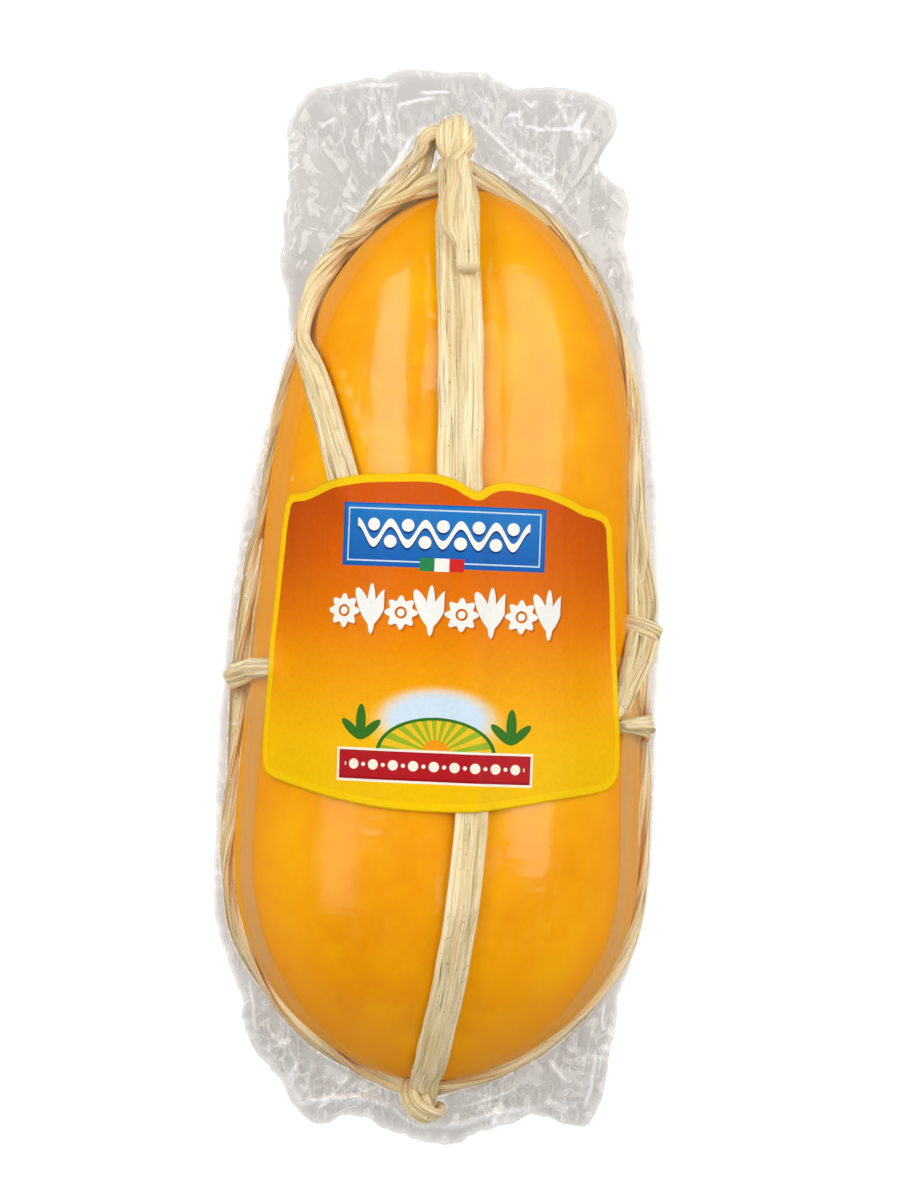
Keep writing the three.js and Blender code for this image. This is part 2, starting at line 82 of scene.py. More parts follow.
cheeseForm = {
    "middle": Vector((0.95, -6.06, 0.0)),
    "axisHeight": 37.485,
    "halfLength": 94.0,
    "halfWidth": 42.3,
    "depthRatio": 0.95,
    "widestY": -45.0,
    "taper": 0.16,
    "taperCurve": 1.4,
    "hangingFullness": 6.0,
    "lowerFullness": 2.3,
    "tipExponent": 0.588,
    "lean": 0.008,
    "unevenness": 0.45,
    "sideFullness": 0.9,
    "hangingShare": 0.66,
    "core": (-58, 62),
    "frontCourse": [(94, -2.4), (77, -1.6), (60, -0.2), (33, 0.9), (-5, 4.2), (-36, 6.5), (-57, 5.3),
                    (-72, 3.5), (-87, 0.9), (-94, -1.0)],
    "leftAngle": math.radians(-90),
    "rightAngles": (math.radians(88), math.radians(76)),
    "grooves": {"front": (1.5, 7.5), "left": (1.2, 5.5), "right": (1.2, 6.0)},
}
axisHeight = cheeseForm["axisHeight"]


def toFrame(point):
    return (point + cheeseForm["middle"]) * mm


def girth(y):
    f = cheeseForm
    fromWidest = clamp(y, -f["halfLength"], f["halfLength"]) - f["widestY"]
    hanging = fromWidest > 0
    reach = f["halfLength"] - f["widestY"] if hanging else f["halfLength"] + f["widestY"]
    part = min(abs(fromWidest) / reach, 1.0)
    fullness = f["hangingFullness"] if hanging else f["lowerFullness"]
    narrowing = 1 - f["taper"] * part ** f["taperCurve"] if hanging else 1.0
    return narrowing * (1 - part ** fullness) ** f["tipExponent"]


def sideNormal(y):
    high = min(y + 0.4, cheeseForm["halfLength"])
    low = max(y - 0.4, -cheeseForm["halfLength"])
    slope = cheeseForm["halfWidth"] * (girth(high) - girth(low)) / (high - low)
    steep = math.hypot(1, slope)
    return 1 / steep, -slope / steep


def frontAngle(y):
    half = max(cheeseForm["halfWidth"] * girth(y), 1.0)
    return math.asin(clamp(alongCourse(cheeseForm["frontCourse"], y) / half, -0.9, 0.9))


def rightAngle(y):
    hanging, waist = cheeseForm["rightAngles"]
    upper = lerp(hanging, waist, smoothStep(90 - y, 0, 60))
    return lerp(upper, hanging, smoothStep(-y, 0, 30))


def pressed(y, angle):
    share = girth(y)
    radius = cheeseForm["halfWidth"] * share
    centres = {"front": frontAngle(y), "left": cheeseForm["leftAngle"], "right": rightAngle(y)}
    depth = 0.0
    for side, (deepest, reach) in cheeseForm["grooves"].items():
        aside = wrapped(angle - centres[side]) * radius / reach
        depth += deepest * math.exp(-aside * aside)
    return depth * min(1.0, share / 0.6) ** 2


def uneven(y, angle):
    slow = math.sin(0.045 * y + 1.3) * math.cos(2 * angle + 0.6)
    small = 0.6 * math.sin(0.09 * y - 3 * angle)
    fuller = cheeseForm["sideFullness"] * clamp(-math.cos(2 * angle)) ** 2
    return (cheeseForm["unevenness"] * (slow + small) + fuller) * girth(y)


def onCheese(y, angle, height=0.0):
    half = cheeseForm["halfWidth"] * girth(y)
    sideways, lengthwise = sideNormal(y)
    out = height + uneven(y, angle) - pressed(y, angle)
    return Vector((
        cheeseForm["lean"] * y + (half + out * sideways) * math.sin(angle),
        y + out * lengthwise,
        axisHeight + (half * cheeseForm["depthRatio"] + out * sideways) * math.cos(angle),
    ))


def stationY(part):
    # from 0 at the hanging tip to 1 at the lower one
    widest, hangingShare = cheeseForm["widestY"], cheeseForm["hangingShare"]
    if part < hangingShare:
        reach = cheeseForm["halfLength"] - widest
        return widest + reach * math.cos(part / hangingShare * math.pi / 2)
    reach = cheeseForm["halfLength"] + widest
    return widest - reach * math.sin((part - hangingShare) / (1 - hangingShare) * math.pi / 2)


def coreFacing(place):
    coreY = clamp(place.y, *cheeseForm["core"])
    return Vector((cheeseForm["lean"] * coreY, coreY, axisHeight))


# Sizes that change along a ribbon, each a function of the share of its length


def sizeAt(size, share):
    return size(share) if callable(size) else size


def ramp(first, last, start, end):
    return lambda s: lerp(first, last, smoothStep(s, start, end))


def swell(share, start, full, fading, end):
    # rises from 0 to 1 and falls back to 0
    return smoothStep(share, start, full) * smoothStep(-share, -end, -fading)


def stepped(values, places):
    # runs from zero through the values, each of which is reached at the next place
    def size(share):
        total = before = 0.0
        for value, start, end in zip(values, places, places[1:]):
            total += (value - before) * smoothStep(share, start, end)
            before = value
        return total
    return size


# Mesh and material helpers

madePieces = []


def finishMesh(name, bm, material, nodes):
    bmesh.ops.recalc_face_normals(bm, faces=bm.faces)
    for vert in bm.verts:
        vert.co = toFrame(vert.co)
    mesh = bpy.data.meshes.new(name)
    bm.to_mesh(mesh)
    bm.free()
    mesh.shade_smooth()
    mesh.materials.append(material)
    piece = bpy.data.objects.new(name, mesh)
    bpy.context.scene.collection.objects.link(piece)
    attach(piece, "root")
    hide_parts(*nodes)
    madePieces.append(piece)
    print(name, len(mesh.polygons), "faces")
    return piece


def treeOf(pieces):
    verts, faces = [], []
    for piece in pieces:
        base = len(verts)
        verts += [vert.co / mm - cheeseForm["middle"] for vert in piece.data.vertices]
        faces += [[base + index for index in polygon.vertices] for polygon in piece.data.polygons]
    return BVHTree.FromPolygons(verts, faces)


def topOf(tree, x, y):
    # the highest point at one place of the plan, or None
    return tree.ray_cast(Vector((x, y, 140)), Vector((0, 0, -1)))[0]


def smoothed(values, weight):
    # each row but the first and last with its neighbours, itself counted weight times
    return (values[:-2] + weight * values[1:-1] + values[2:]) / (2 + weight)


current = {}  # holds the node tree that is being made


def add(kind, inputs=None, **settings):
    # one node, with plain values set and sockets linked by the names of its inputs
    tree = current["tree"]
    node = tree.nodes.new("ShaderNode" + kind)
    for key, value in settings.items():
        setattr(node, key, value)
    for key, value in (inputs or {}).items():
        if isinstance(value, bpy.types.NodeSocket):
            tree.links.new(value, node.inputs[key])
        else:
            node.inputs[key].default_value = value
    return node


def newMaterial(name, surface):
    # surface is the function that builds the nodes and gives back the last output
    material = bpy.data.materials.new(name)
    material.use_nodes = True
    current["tree"] = material.node_tree
    material.node_tree.nodes.clear()
    add("OutputMaterial", {0: surface()})
    return material


def maths(operation, first, second=0.0, third=0.0, hold=False):
    return add("Math", {0: first, 1: second, 2: third}, operation=operation, use_clamp=hold).outputs[0]


def times(first, second):
    return maths("MULTIPLY", first, second)


def minus(first, second):
    return maths("SUBTRACT", first, second)


def scaled(value, factor, shift):
    return maths("MULTIPLY_ADD", value, factor, shift)


def held(value, factor, shift):
    # scaled and kept between 0 and 1
    return maths("MULTIPLY_ADD", value, factor, shift, hold=True)


def below(first, second):
    return maths("LESS_THAN", first, second)


def above(first, second):
    return maths("GREATER_THAN", first, second)


def absolute(value):
    return maths("ABSOLUTE", value)


def either(first, second):
    return maths("MAXIMUM", first, second)


def blend(share, first, second):
    return add("Mix", {0: share, 6: first, 7: second}, data_type="RGBA").outputs[2]


def mixed(share, first, second):
    return add("MixShader", {0: share, 1: first, 2: second}).outputs[0]


def between(value, start, end, low, high, soft=False):
    # low at start to high at end
    kind = "SMOOTHSTEP" if soft else "LINEAR"
    return add("MapRange", {0: value, 1: start, 2: end, 3: low, 4: high}, interpolation_type=kind).outputs[0]


def cloudy(vector, scale, detail, **more):
    return add("TexNoise", {"Vector": vector, "Scale": scale, "Detail": detail, **more}).outputs[0]


def stretched(vector, *scale, turn=0.0):
    return add("Mapping", {"Vector": vector, "Rotation": (0, 0, turn), "Scale": scale}).outputs[0]


def axesOf(vector):
    return add("SeparateXYZ", {0: vector}).outputs


def lengthOf(vector):
    return add("VectorMath", {0: vector}, operation="LENGTH").outputs["Value"]


def attribute(name):
    return add("Attribute", attribute_name=name).outputs["Fac"]


def objectPlace():
    return add("TexCoord").outputs["Object"]


def bumped(height, strength, distance):
    return add("Bump", {"Strength": strength, "Distance": distance, "Height": height}).outputs[0]


def glossy(colour, roughness, ior, normal, **more):
    inputs = {"Base Color": colour, "Roughness": roughness, "IOR": ior, "Normal": normal, **more}
    return add("BsdfPrincipled", inputs).outputs[0]


def linear(red, green, blue):
    # a colour as it shows on a screen, in the scene's own light values
    def channel(value):
        value /= 255
        return value / 12.92 if value < 0.04045 else ((value + 0.055) / 1.055) ** 2.4
    return channel(red), channel(green), channel(blue), 1.0


# The cheese

cheeseLook = {
    "columns": 216,
    "rows": 168,
    "bedHeight": {"back": 2.3, "girdle": 2.1},
    "bedHalf": {"back": 4.9, "girdle": 3.9},
    "girdleDent": 0.5,
    "flatTo": 12,
    "deep": linear(238, 150, 1),
    "pale": linear(252, 180, 2),
    "worn": linear(254, 188, 5),
    # the edge colour is painted shade for the rind's steep sides
    "edge": linear(236, 146, 0),
    "speck": linear(255, 214, 140),
    "roughness": 0.42,
    "ior": 1.12,
    "soft": 0.12,
}
girdleForm = {"rightY": -17.2, "leftY": -9.6, "from": math.radians(60), "to": math.radians(303)}
backForm = {"angle": math.pi - 0.03, "crossingY": -13.4}


def girdleY(angle):
    turn = angle if angle >= 0 else angle + 2 * math.pi
    share = (turn - girdleForm["from"]) / (girdleForm["to"] - girdleForm["from"])
    return lerp(girdleForm["rightY"], girdleForm["leftY"], clamp(share))


def cheeseSurface():
    place = objectPlace()
    broad = held(cloudy(place, 34.0, 4.0, Roughness=0.6), 2.4, -0.7)
    colour = blend(broad, cheeseLook["deep"], cheeseLook["pale"])
    cloud = held(cloudy(place, 130.0, 4.0, Roughness=0.65), 1.2, -0.55)
    colour = blend(cloud, colour, cheeseLook["worn"])
    # painted shade: a deeper tone where the rind turns away from straight up or down
    upright = absolute(axesOf(add("NewGeometry").outputs["Normal"])[2])
    colour = blend(between(upright, 0.76, 0.50, 0.0, 0.7, soft=True), colour, cheeseLook["edge"])
    specks = add("TexVoronoi", {"Vector": place, "Scale": 72.0, "Randomness": 1.0}).outputs
    chosen = above(add("SeparateColor", {0: specks["Color"]}).outputs[0], 0.6)
    speck = times(times(below(specks["Distance"], 0.035), chosen), 0.55)
    colour = blend(speck, colour, cheeseLook["speck"])
    bump = bumped(cloudy(place, 420.0, 3.0, Roughness=0.6), 0.06, 0.0006)
    return glossy(colour, cheeseLook["roughness"], cheeseLook["ior"], bump, **{
        "Subsurface Weight": cheeseLook["soft"],
        "Subsurface Radius": (1.0, 0.6, 0.2),
        "Subsurface Scale": 0.004,
    })


def makeCheese():
    look = cheeseLook
    bm = bmesh.new()
    bmesh.ops.create_uvsphere(bm, u_segments=look["columns"], v_segments=look["rows"], radius=1)
    backX = onCheese(backForm["crossingY"], backForm["angle"]).x
    for vert in bm.verts:
        part = math.acos(clamp(vert.co.z, -1, 1)) / math.pi
        angle = math.atan2(vert.co.y, vert.co.x)
        y = stationY(part)
        aside = (y - girdleY(angle)) / look["bedHalf"]["girdle"]
        inGirdle = girdleForm["from"] < angle % (2 * math.pi) < girdleForm["to"]
        dent = look["girdleDent"] * math.exp(-aside * aside) if inGirdle else 0.0
        point = onCheese(y, angle, -dent)
        # the underside is flat, apart from beds for the raffia under it
        besideBack = (point.x - backX) / look["bedHalf"]["back"]
        bed = look["bedHeight"]["back"] * math.exp(-besideBack ** 8)
        bed = max(bed, look["bedHeight"]["girdle"] * math.exp(-aside ** 8))
        if point.z < look["flatTo"]:
            point.z = max(point.z, bed * smoothStep(-point.z, -2.0, -0.5))
        vert.co = point
    material = newMaterial("smokedRind", cheeseSurface)
    return finishMesh("cheeseBody", bm, material, nodes=["cheese"])


cheeseBody = makeCheese()


# Raffia ribbons

raffiaLook = {
    "straw": linear(246, 224, 174),
    "shade": linear(220, 189, 126),
    "light": linear(255, 247, 220),
    # the next colour is painted shade for the ribbons' creases, also used for dark fibre lines
    "creaseShade": linear(166, 130, 66),
    "slit": linear(96, 68, 30),
    "roughness": 0.7,
    "ior": 1.3,
    "spacing": 0.9,
    "overRind": 0.35,
    "floor": 0.06,
}
overRind = raffiaLook["overRind"]


def raffiaSurface():
    fibres = add("UVMap", uv_map="fibre").outputs[0]
    creaseShade = attribute("creaseShade")

    def streaks(across, lengthwise, detail):
        return cloudy(stretched(fibres, across, lengthwise, 1.0), 1.0, detail)

    broad = streaks(0.35, 0.03, 2.0)
    fibre = streaks(2.8, 0.045, 3.0)
    thread = streaks(4.4, 0.10, 2.0)
    slits = streaks(1.5, 0.014, 1.0)
    patch = streaks(0.22, 0.05, 1.0)
    fleck = streaks(2.3, 1.3, 1.0)
    colour = blend(held(broad, 3.0, -1.0), raffiaLook["shade"], raffiaLook["straw"])
    colour = blend(held(fibre, 2.2, -0.85), colour, raffiaLook["light"])
    # painted shade in the creases of the pleats, darker towards the cut ends, together with dark fibre lines
    dark = either(times(creaseShade, 0.7), held(thread, -4.6, 1.95))
    colour = blend(maths("MULTIPLY", dark, 0.85, hold=True), colour, raffiaLook["creaseShade"])
    # thin dark slits along the fibres, and flecks
    slit = times(held(absolute(minus(slits, 0.47)), -48.0, 1.0), held(patch, 7.0, -3.2))
    slit = either(slit, held(scaled(creaseShade, 0.07, fleck), 14.0, -9.9))
    colour = blend(times(slit, 0.65), colour, raffiaLook["slit"])
    height = maths("ADD", scaled(slit, -1.2, fibre), times(thread, 0.5))
    return glossy(colour, raffiaLook["roughness"], raffiaLook["ior"], bumped(height, 0.7, 0.0004))


raffiaFibre = newMaterial("raffiaFibre", raffiaSurface)


def smoothRoute(points, spacing, closed=False):
    # a smooth line through the points, in even steps
    points = [Vector(point) for point in points]
    if closed:
        padded = [points[-1], *points, points[0], points[1]]
    else:
        padded = [2 * points[0] - points[1], *points, 2 * points[-1] - points[-2]]
    dense = []
    for before, start, end, after in zip(padded, padded[1:], padded[2:], padded[3:]):
        count = max(2, math.ceil((end - start).length / 0.3))
        for i in range(count):
            t = i / count
            dense.append(0.5 * (2 * start + (end - before) * t
                                + (2 * before - 5 * start + 4 * end - after) * t * t
                                + (3 * start - before - 3 * end + after) * t ** 3))
    dense.append(points[0].copy() if closed else points[-1])
    lengths = [0.0]
    for a, b in zip(dense, dense[1:]):
        lengths.append(lengths[-1] + (b - a).length)
    count = max(3, round(lengths[-1] / spacing))
    route = []
    at = 0
    for i in range(count + 1):
        run = lengths[-1] * i / count
        while at < len(dense) - 2 and lengths[at + 1] < run:
            at += 1
        gap = max(lengths[at + 1] - lengths[at], 1e-9)
        route.append(dense[at].lerp(dense[at + 1], clamp((run - lengths[at]) / gap)))
    return route[:-1] if closed else route


def framesAlong(route, core=coreFacing):
    # at each place: the place, the way across the strip, and the way out of what carries it
    outward = [(place - core(place)).normalized() for place in route]
    frames = []
    for i, place in enumerate(route):
        tangent = (route[min(i + 1, len(route) - 1)] - route[max(i - 1, 0)]).normalized()
        near = sum(outward[max(i - 3, 0):i + 4], Vector())
        across = near.cross(tangent).normalized()
        frames.append((place, across, tangent.cross(across).normalized()))
    return frames


def addRibbon(bm, frames, half=2.0, thick=0.7, aside=0.0, raised=0.0, turn=0.0, seed=0.0,
              pleat=1.0, closing=2.5, start=0.0, stop=1.0, lowest=None):
    # one folded ribbon along the frames; each size may be a function of the share of the way along
    first = round(start * (len(frames) - 1))
    last = round(stop * (len(frames) - 1))
    steps = last - first
    spacing = (frames[1][0] - frames[0][0]).length
    length = steps * spacing
    uvLayer = bm.loops.layers.uv.get("fibre") or bm.loops.layers.uv.new("fibre")
    creaseShadeLayer = bm.verts.layers.float.get("creaseShade") or bm.verts.layers.float.new("creaseShade")
    columns = 2 * round(12 + 7.5 * sizeAt(half, 0.3))
    made = bmesh.ops.create_grid(bm, x_segments=columns, y_segments=steps, size=1)["verts"]
    fibre = {}
    for vert in made:
        around = (vert.co.x + 1) * math.pi
        step = round((vert.co.y + 1) / 2 * steps)
        place, across, outward = frames[first + step]
        share = (first + step) / (len(frames) - 1)
        run = step * spacing
        fromEnd = min(run, length - run)
        opening = clamp(fromEnd / closing)
        closed = math.sqrt(opening * (2 - opening))
        halfHere = sizeAt(half, share)
        thickHere = sizeAt(thick, share)
        wide = halfHere * (1 + 0.12 * ripple(run / 9, seed, 3.1)) * (0.12 + 0.88 * closed)
        cosine, sine = math.cos(around), math.sin(around)
        x = math.copysign(abs(cosine) ** 0.85, cosine)
        z = math.copysign(abs(sine) ** 0.6, sine)
        if step in (0, steps):
            x = z = 0.0
        lane = x * halfHere
        fold = ripple(lane * 0.5 + 7 * seed, run / 34, seed)
        crease = max(0.0, 1 - abs(ripple(lane * 0.8 + 3 * seed, run / 30, seed + 5)) * 4.5)
        small = ripple(lane * 1.9 + seed, run / 14, seed + 9)
        lift = pleat * abs(z) * (0.7 * fold - 0.6 * crease + 0.35 * small)
        # painted shade: darker in the creases of the pleats, and towards the cut ends
        depth = clamp(1.1 * crease - 0.45) * abs(z)
        vert[creaseShadeLayer] = max(depth, 0.8 * (1 - clamp(fromEnd / 1.2)) ** 2)
        x *= wide
        z *= (1 + lift) * thickHere * closed
        spin = sizeAt(turn, share) + 0.10 * ripple(run / 15, seed, 8.0)
        sway = 0.22 * ripple(run / 17, seed, 21.0)
        sideways = sizeAt(aside, share) + sway + x * math.cos(spin) - z * math.sin(spin)
        up = sizeAt(raised, share) + x * math.sin(spin) + z * math.cos(spin)
        point = place + across * sideways + outward * up
        if lowest is not None:
            point.z = max(point.z, lowest)
        vert.co = point
        fibre[vert] = (around / (2 * math.pi), seed * 137.0 + run)
    girthHere = 2 * (sizeAt(half, 0.5) + sizeAt(thick, 0.5)) * 2
    for face in {face for vert in made for face in vert.link_faces}:
        places = [fibre[loop.vert] for loop in face.loops]
        for loop, (turnShare, run) in zip(face.loops, places):
            loop[uvLayer].uv = (turnShare * girthHere + seed * 31.0, run)


def makeStrand(name, node, *routes, **common):
    # routes: each the frames along it and a list of ribbons
    bm = bmesh.new()
    for frames, ribbons in routes:
        for ribbon in ribbons:
            addRibbon(bm, frames, **ribbon, **common)
    bmesh.ops.remove_doubles(bm, verts=bm.verts, dist=2e-4)
    finishMesh(name, bm, raffiaFibre, nodes=[node])


def strip(half, thick, seed, **more):
    return {"half": half, "thick": thick, "seed": seed, **more}


def twisted(count, radius, turns, seed, half, thick):
    # ribbons laid round each other like a loose cord
    def one(i):
        def lay(share):
            return 2 * math.pi * i / count + 2 * math.pi * turns * share

        return strip(half, thick, seed + i, aside=lambda s: radius * math.cos(lay(s)),
                     raised=lambda s: radius * 0.75 * math.sin(lay(s)), turn=lambda s: lay(s) + math.pi / 2)
    return [one(i) for i in range(count)]


topKnot = Vector((-3.4, 103.2, axisHeight + 1.5))
lowerKnot = Vector((-1.1, -97.6, axisHeight + 2.5))


def near(place, *offsets):
    return [place + Vector(offset) for offset in offsets]


def overAxis(*points):
    # points given by X, Y and their height over the cheese's axis
    return [Vector((x, y, axisHeight + up)) for x, y, up in points]


def along(first, last, angleAt, height, count=22):
    stations = [stationY(lerp(first, last, i / count)) for i in range(count + 1)]
    return [onCheese(y, angleAt(y), height) for y in stations]


def liftedOff(point, floor):
    # eases a point that is near or under the floor up to it
    point.z = floor + ((point.z - floor) + math.hypot(point.z - floor, 0.6)) / 2
    return point


def framed(points, core=coreFacing):
    return framesAlong(smoothRoute(points, raffiaLook["spacing"]), core)


def fromBelow(place):
    return Vector((place.x, place.y, place.z - 5))


def shoulderFacing(place):
    # at the shoulder the ribbons lie on the label side, so they face up more than the cheese does
    return coreFacing(place) - Vector((0, 0, 26 * smoothStep(place.y, 58, 74)))


def narrowing(upper, lower, last=None):
    # one width above the label, another under it, and the last one in the lower knot
    def size(share):
        here = lerp(upper, lower, smoothStep(share, 0.40, 0.62))
        if last is None:
            return here
        here *= lerp(0.55, 1.0, smoothStep(share, 0.01, 0.09))
        return lerp(here, last, smoothStep(share, 0.925, 0.985))
    return size


# The bands over the front and the back

frontLook = {
    "height": overRind + 1.2,
    "ribbons": [
        strip(narrowing(4.3, 3.2, last=2.2), 0.75, 1, raised=-0.35, pleat=0.8),
        strip(narrowing(2.6, 2.5, last=1.6), 0.75, 2, aside=narrowing(-2.0, -0.8), raised=0.45, turn=0.10, pleat=0.6),
        strip(narrowing(2.3, 1.3), 0.8, 3, aside=narrowing(2.3, 2.3, last=1.3), raised=0.35, turn=-0.14, pleat=0.6),
    ],
}
backLook = {
    "height": overRind + 1.0,
    "floor": 1.0,
    "overGirdle": 2 * 0.9 + overRind,
    "ribbons": [
        strip(3.9, 0.55, 11, raised=-0.25),
        strip(2.0, 0.55, 12, aside=-1.8, raised=0.3, turn=0.08),
        strip(2.0, 0.55, 13, aside=1.9, raised=0.3, turn=-0.08),
    ],
}


def makeFront():
    course = near(topKnot, (0.6, -3, 1.5)) + along(0.1, 0.94, frontAngle, frontLook["height"])
    course += near(lowerKnot, (0.3, 1, 2.5), (1.2, -1.6, 1.0))
    makeStrand("frontBand", "raffia_front", (framed(course), frontLook["ribbons"]))


def makeBack():
    course = near(topKnot, (0.3, -3, -1.5))
    for i in range(45):
        y = stationY(lerp(0.1, 0.94, i / 44))
        point = liftedOff(onCheese(y, backForm["angle"], backLook["height"]), backLook["floor"])
        point.z += backLook["overGirdle"] * math.exp(-((y - backForm["crossingY"]) / 4.8) ** 2)
        course.append(point)
    course += near(lowerKnot, (0.2, 1, -2.5))
    makeStrand("backBand", "raffia_back", (framed(course), backLook["ribbons"]), lowest=raffiaLook["floor"])


# The side strands, each a loose cord that opens below the waist on the left and above it on the right

sideLook = {
    "height": 0.95,
    "lowered": math.radians(3.2),
    "leftCord": twisted(3, 0.85, 3.1, 21, ramp(0.95, 1.85, 0.36, 0.44), 0.7),
    "rightCord": twisted(3, 0.9, 2.7, 31, 1.5, 0.7),
    # two more on the left: height at the ends and between them, shift, turn and seed
    "leftExtra": ((0.0, 0.8, 0.4, 1.4, 26.2), (-0.7, -1.3, 0.6, 1.75, 27.4)),
    "fan": (-2.6, -4.6, -6.4),
    # each fold at the side knot: its half width, shift, heights, turns and seed
    "folds": (
        (1.5, -0.8, (0.2, 1.8, 2.8, 0.9), (1.4, 1.3), 36.2), (1.2, -3.0, (1.4, 1.9, -0.3, 0.2), (1.5, 0.9), 37.4),
        (1.3, 0.8, (0.2, 1.2, 1.9, 0.9), (1.1, 1.5), 38.1), (1.0, -4.0, (-0.6, -0.5, 1.3, 0.9), (0.8, 1.7), 34.6),
        (0.8, -4.2, (1.2, 0.3, -0.9, -0.6), (1.0, 0.5), 33.3),
    ),
    "foldPlaces": (0.29, 0.36, 0.41, 0.46, 0.505),
}


def makeSides():
    def lowered(y):
        return sideLook["lowered"] * smoothStep(-abs(y), -86, -62)

    def sideFrames(top, angleAt, outAt, bottom):
        course = near(topKnot, top)
        for place in along(0.09, 0.95, angleAt, sideLook["height"]):
            course.append(place - Vector((outAt(place.y), 0, 0)))
        return framed(course + near(lowerKnot, bottom))

    def leftOut(y):
        slow = 1.3 * smoothStep(-abs(y + 3), -34, -12) + 0.6 * smoothStep(-abs(y + 55), -30, -8)
        return slow + 0.6 * math.exp(-((y + 4) / 7) ** 2)

    def rightOut(y):
        return 0.2 + 0.6 * smoothStep(-abs(y - 12), -34, -20)

    def hump(ends, middle):
        return lambda s: ends + (middle - ends) * swell(s, 0.34, 0.43, 0.56, 0.66)

    def fan(reach):
        return lambda s: reach * swell(s, 0.27, 0.44, 0.50, 0.56)

    frames = sideFrames((-1.5, -5, 0.5), lambda y: cheeseForm["leftAngle"] - lowered(y), leftOut, (-2, 2.3, 0))
    ribbons = [strip(1.25, 0.8, seed, start=0.40, stop=0.8, turn=turn, aside=aside, raised=hump(ends, middle))
               for ends, middle, aside, turn, seed in sideLook["leftExtra"]]
    makeStrand("leftStrand", "raffia_left", (frames, sideLook["leftCord"] + ribbons))

    frames = sideFrames((2.5, -4, 0.5), lambda y: rightAngle(y) + lowered(y), rightOut, (2, 2.3, 0))
    ribbons = [strip(1.3, 0.85, 35 + i, start=0.13, stop=0.50, aside=fan(reach), raised=fan(0.5 - 0.35 * i),
                     turn=0.3 - 0.1 * i) for i, reach in enumerate(sideLook["fan"])]
    ribbons += [strip(half, 0.8, seed, start=0.28, stop=0.507, pleat=0.8, aside=ramp(0.0, aside, 0.30, 0.42),
                      turn=ramp(*turns, 0.36, 0.50), raised=stepped(heights, sideLook["foldPlaces"]))
                for half, aside, heights, turns, seed in sideLook["folds"]]
    ribbons += [strip(1.7, 0.9, 39, stop=0.13, turn=1.3, raised=ramp(-2.7, -0.9, 0.01, 0.09)),
                strip(1.4, 0.8, 40, stop=0.10, turn=1.0, aside=-1.2, raised=ramp(-1.4, 0.0, 0.01, 0.09))]
    makeStrand("rightStrand", "raffia_right", (frames, sideLook["rightCord"] + ribbons))


# The waist tie

girdleLook = {
    "height": overRind + 0.9,
    "floor": 0.9,
    "overEnd": 0.05,
    # the strands that it crosses: angle and rise
    "crossings": ((math.pi / 2 * 0.86, 1.0), (math.pi, 2.9), (math.pi * 1.5, 3.0)),
    "crossingHalf": 6.5,
}


def makeGirdle():
    look = girdleLook
    course = []
    for i in range(55):
        angle = lerp(girdleForm["from"] - look["overEnd"], girdleForm["to"] + look["overEnd"], i / 54)
        y = girdleY(angle if angle <= math.pi else angle - 2 * math.pi)
        over = 0.0
        for centre, rise in look["crossings"]:
            aside = wrapped(angle - centre) * cheeseForm["halfWidth"] / look["crossingHalf"]
            over = max(over, rise * math.exp(-aside ** 4))
        y -= 1.7 * math.exp(-((math.degrees(angle) - 92) / 20) ** 2)
        y += 1.5 * smoothStep(math.degrees(angle), 272, 290)
        course.append(liftedOff(onCheese(y, angle, look["height"] + over), look["floor"]))

    def spread(share):
        # the right end comes from a point at the label
        return lerp(0.3, 1.0, smoothStep(share, 0.0, 0.10)) + 0.2 * math.exp(-((share - 0.13) / 0.05) ** 2)

    def rolled(most, start=0.0):
        # the left end is twisted where it turns over the strand
        return lambda s: start + most * smoothStep(s, 0.82, 0.95)

    def lane(middle, sway, seed, roll):
        return lambda s: (middle + sway * ripple(6 * s, seed)) * spread(s) + rolled(roll)(s)

    makeStrand("waistTie", "raffia_girdle", (framed(course), [
        strip(lambda s: 1.35 * lerp(0.75, 1, spread(s)), 0.85, 41, aside=lane(-1.25, 0.5, 1.5, 0.5),
              turn=rolled(0.5, 0.2), raised=rolled(-0.3)),
        strip(lambda s: 1.3 * lerp(0.75, 1, spread(s)), 0.85, 42, aside=lane(1.3, 0.6, 3.5, -0.4),
              turn=rolled(-0.4, -0.35), raised=0.1),
        strip(1.25, 0.8, 43, start=0.76, turn=0.15, raised=0.95,
              aside=lambda s: 1.1 * ripple(9 * s, 5.5) * spread(s)),
        strip(0.7, 0.6, 44, stop=0.24, turn=-0.2, raised=0.8, aside=ramp(0.0, -0.5, 0.03, 0.13)),
    ]), lowest=raffiaLook["floor"])


# The hanging loop over the left shoulder

loopLook = {
    "outer": [(-6.8, 105.4, 1.6), (-9.0, 104.0, 1.2), (-9.9, 101.0, 0.6), (-12.6, 97.2, 0.6), (-17.4, 91.2, 2.2),
              (-22.6, 84.4, 3.2)],
    "shoulder": [(-5.2, 94.8, 4.6), (-9.0, 93.2, 5.0), (-13.2, 90.6, 5.2), (-17.6, 87.4, 5.2), (-21.8, 83.2, 5.0)],
    "inner": [(-7.6, 102.6, 0.4), (-8.3, 99.5, 0.6), (-9.3, 96.6, 1.2), (-12.4, 93.2, 2.2), (-17.0, 89.4, 3.0)],
    # on the cheese: Y, angle in degrees and height
    "onCheese": ((79, -86, 2.9), (72.4, -84, 2.5), (66.6, -78, 2.1), (62, -72, 1.7), (58, -66, 1.45),
                 (52.4, -55, 1.35), (44, -45, 1.35), (37, -39.5, 1.3), (30, -34.5, 1.0), (23, -30.5, 0.0)),
    "lays": 4.4,
}


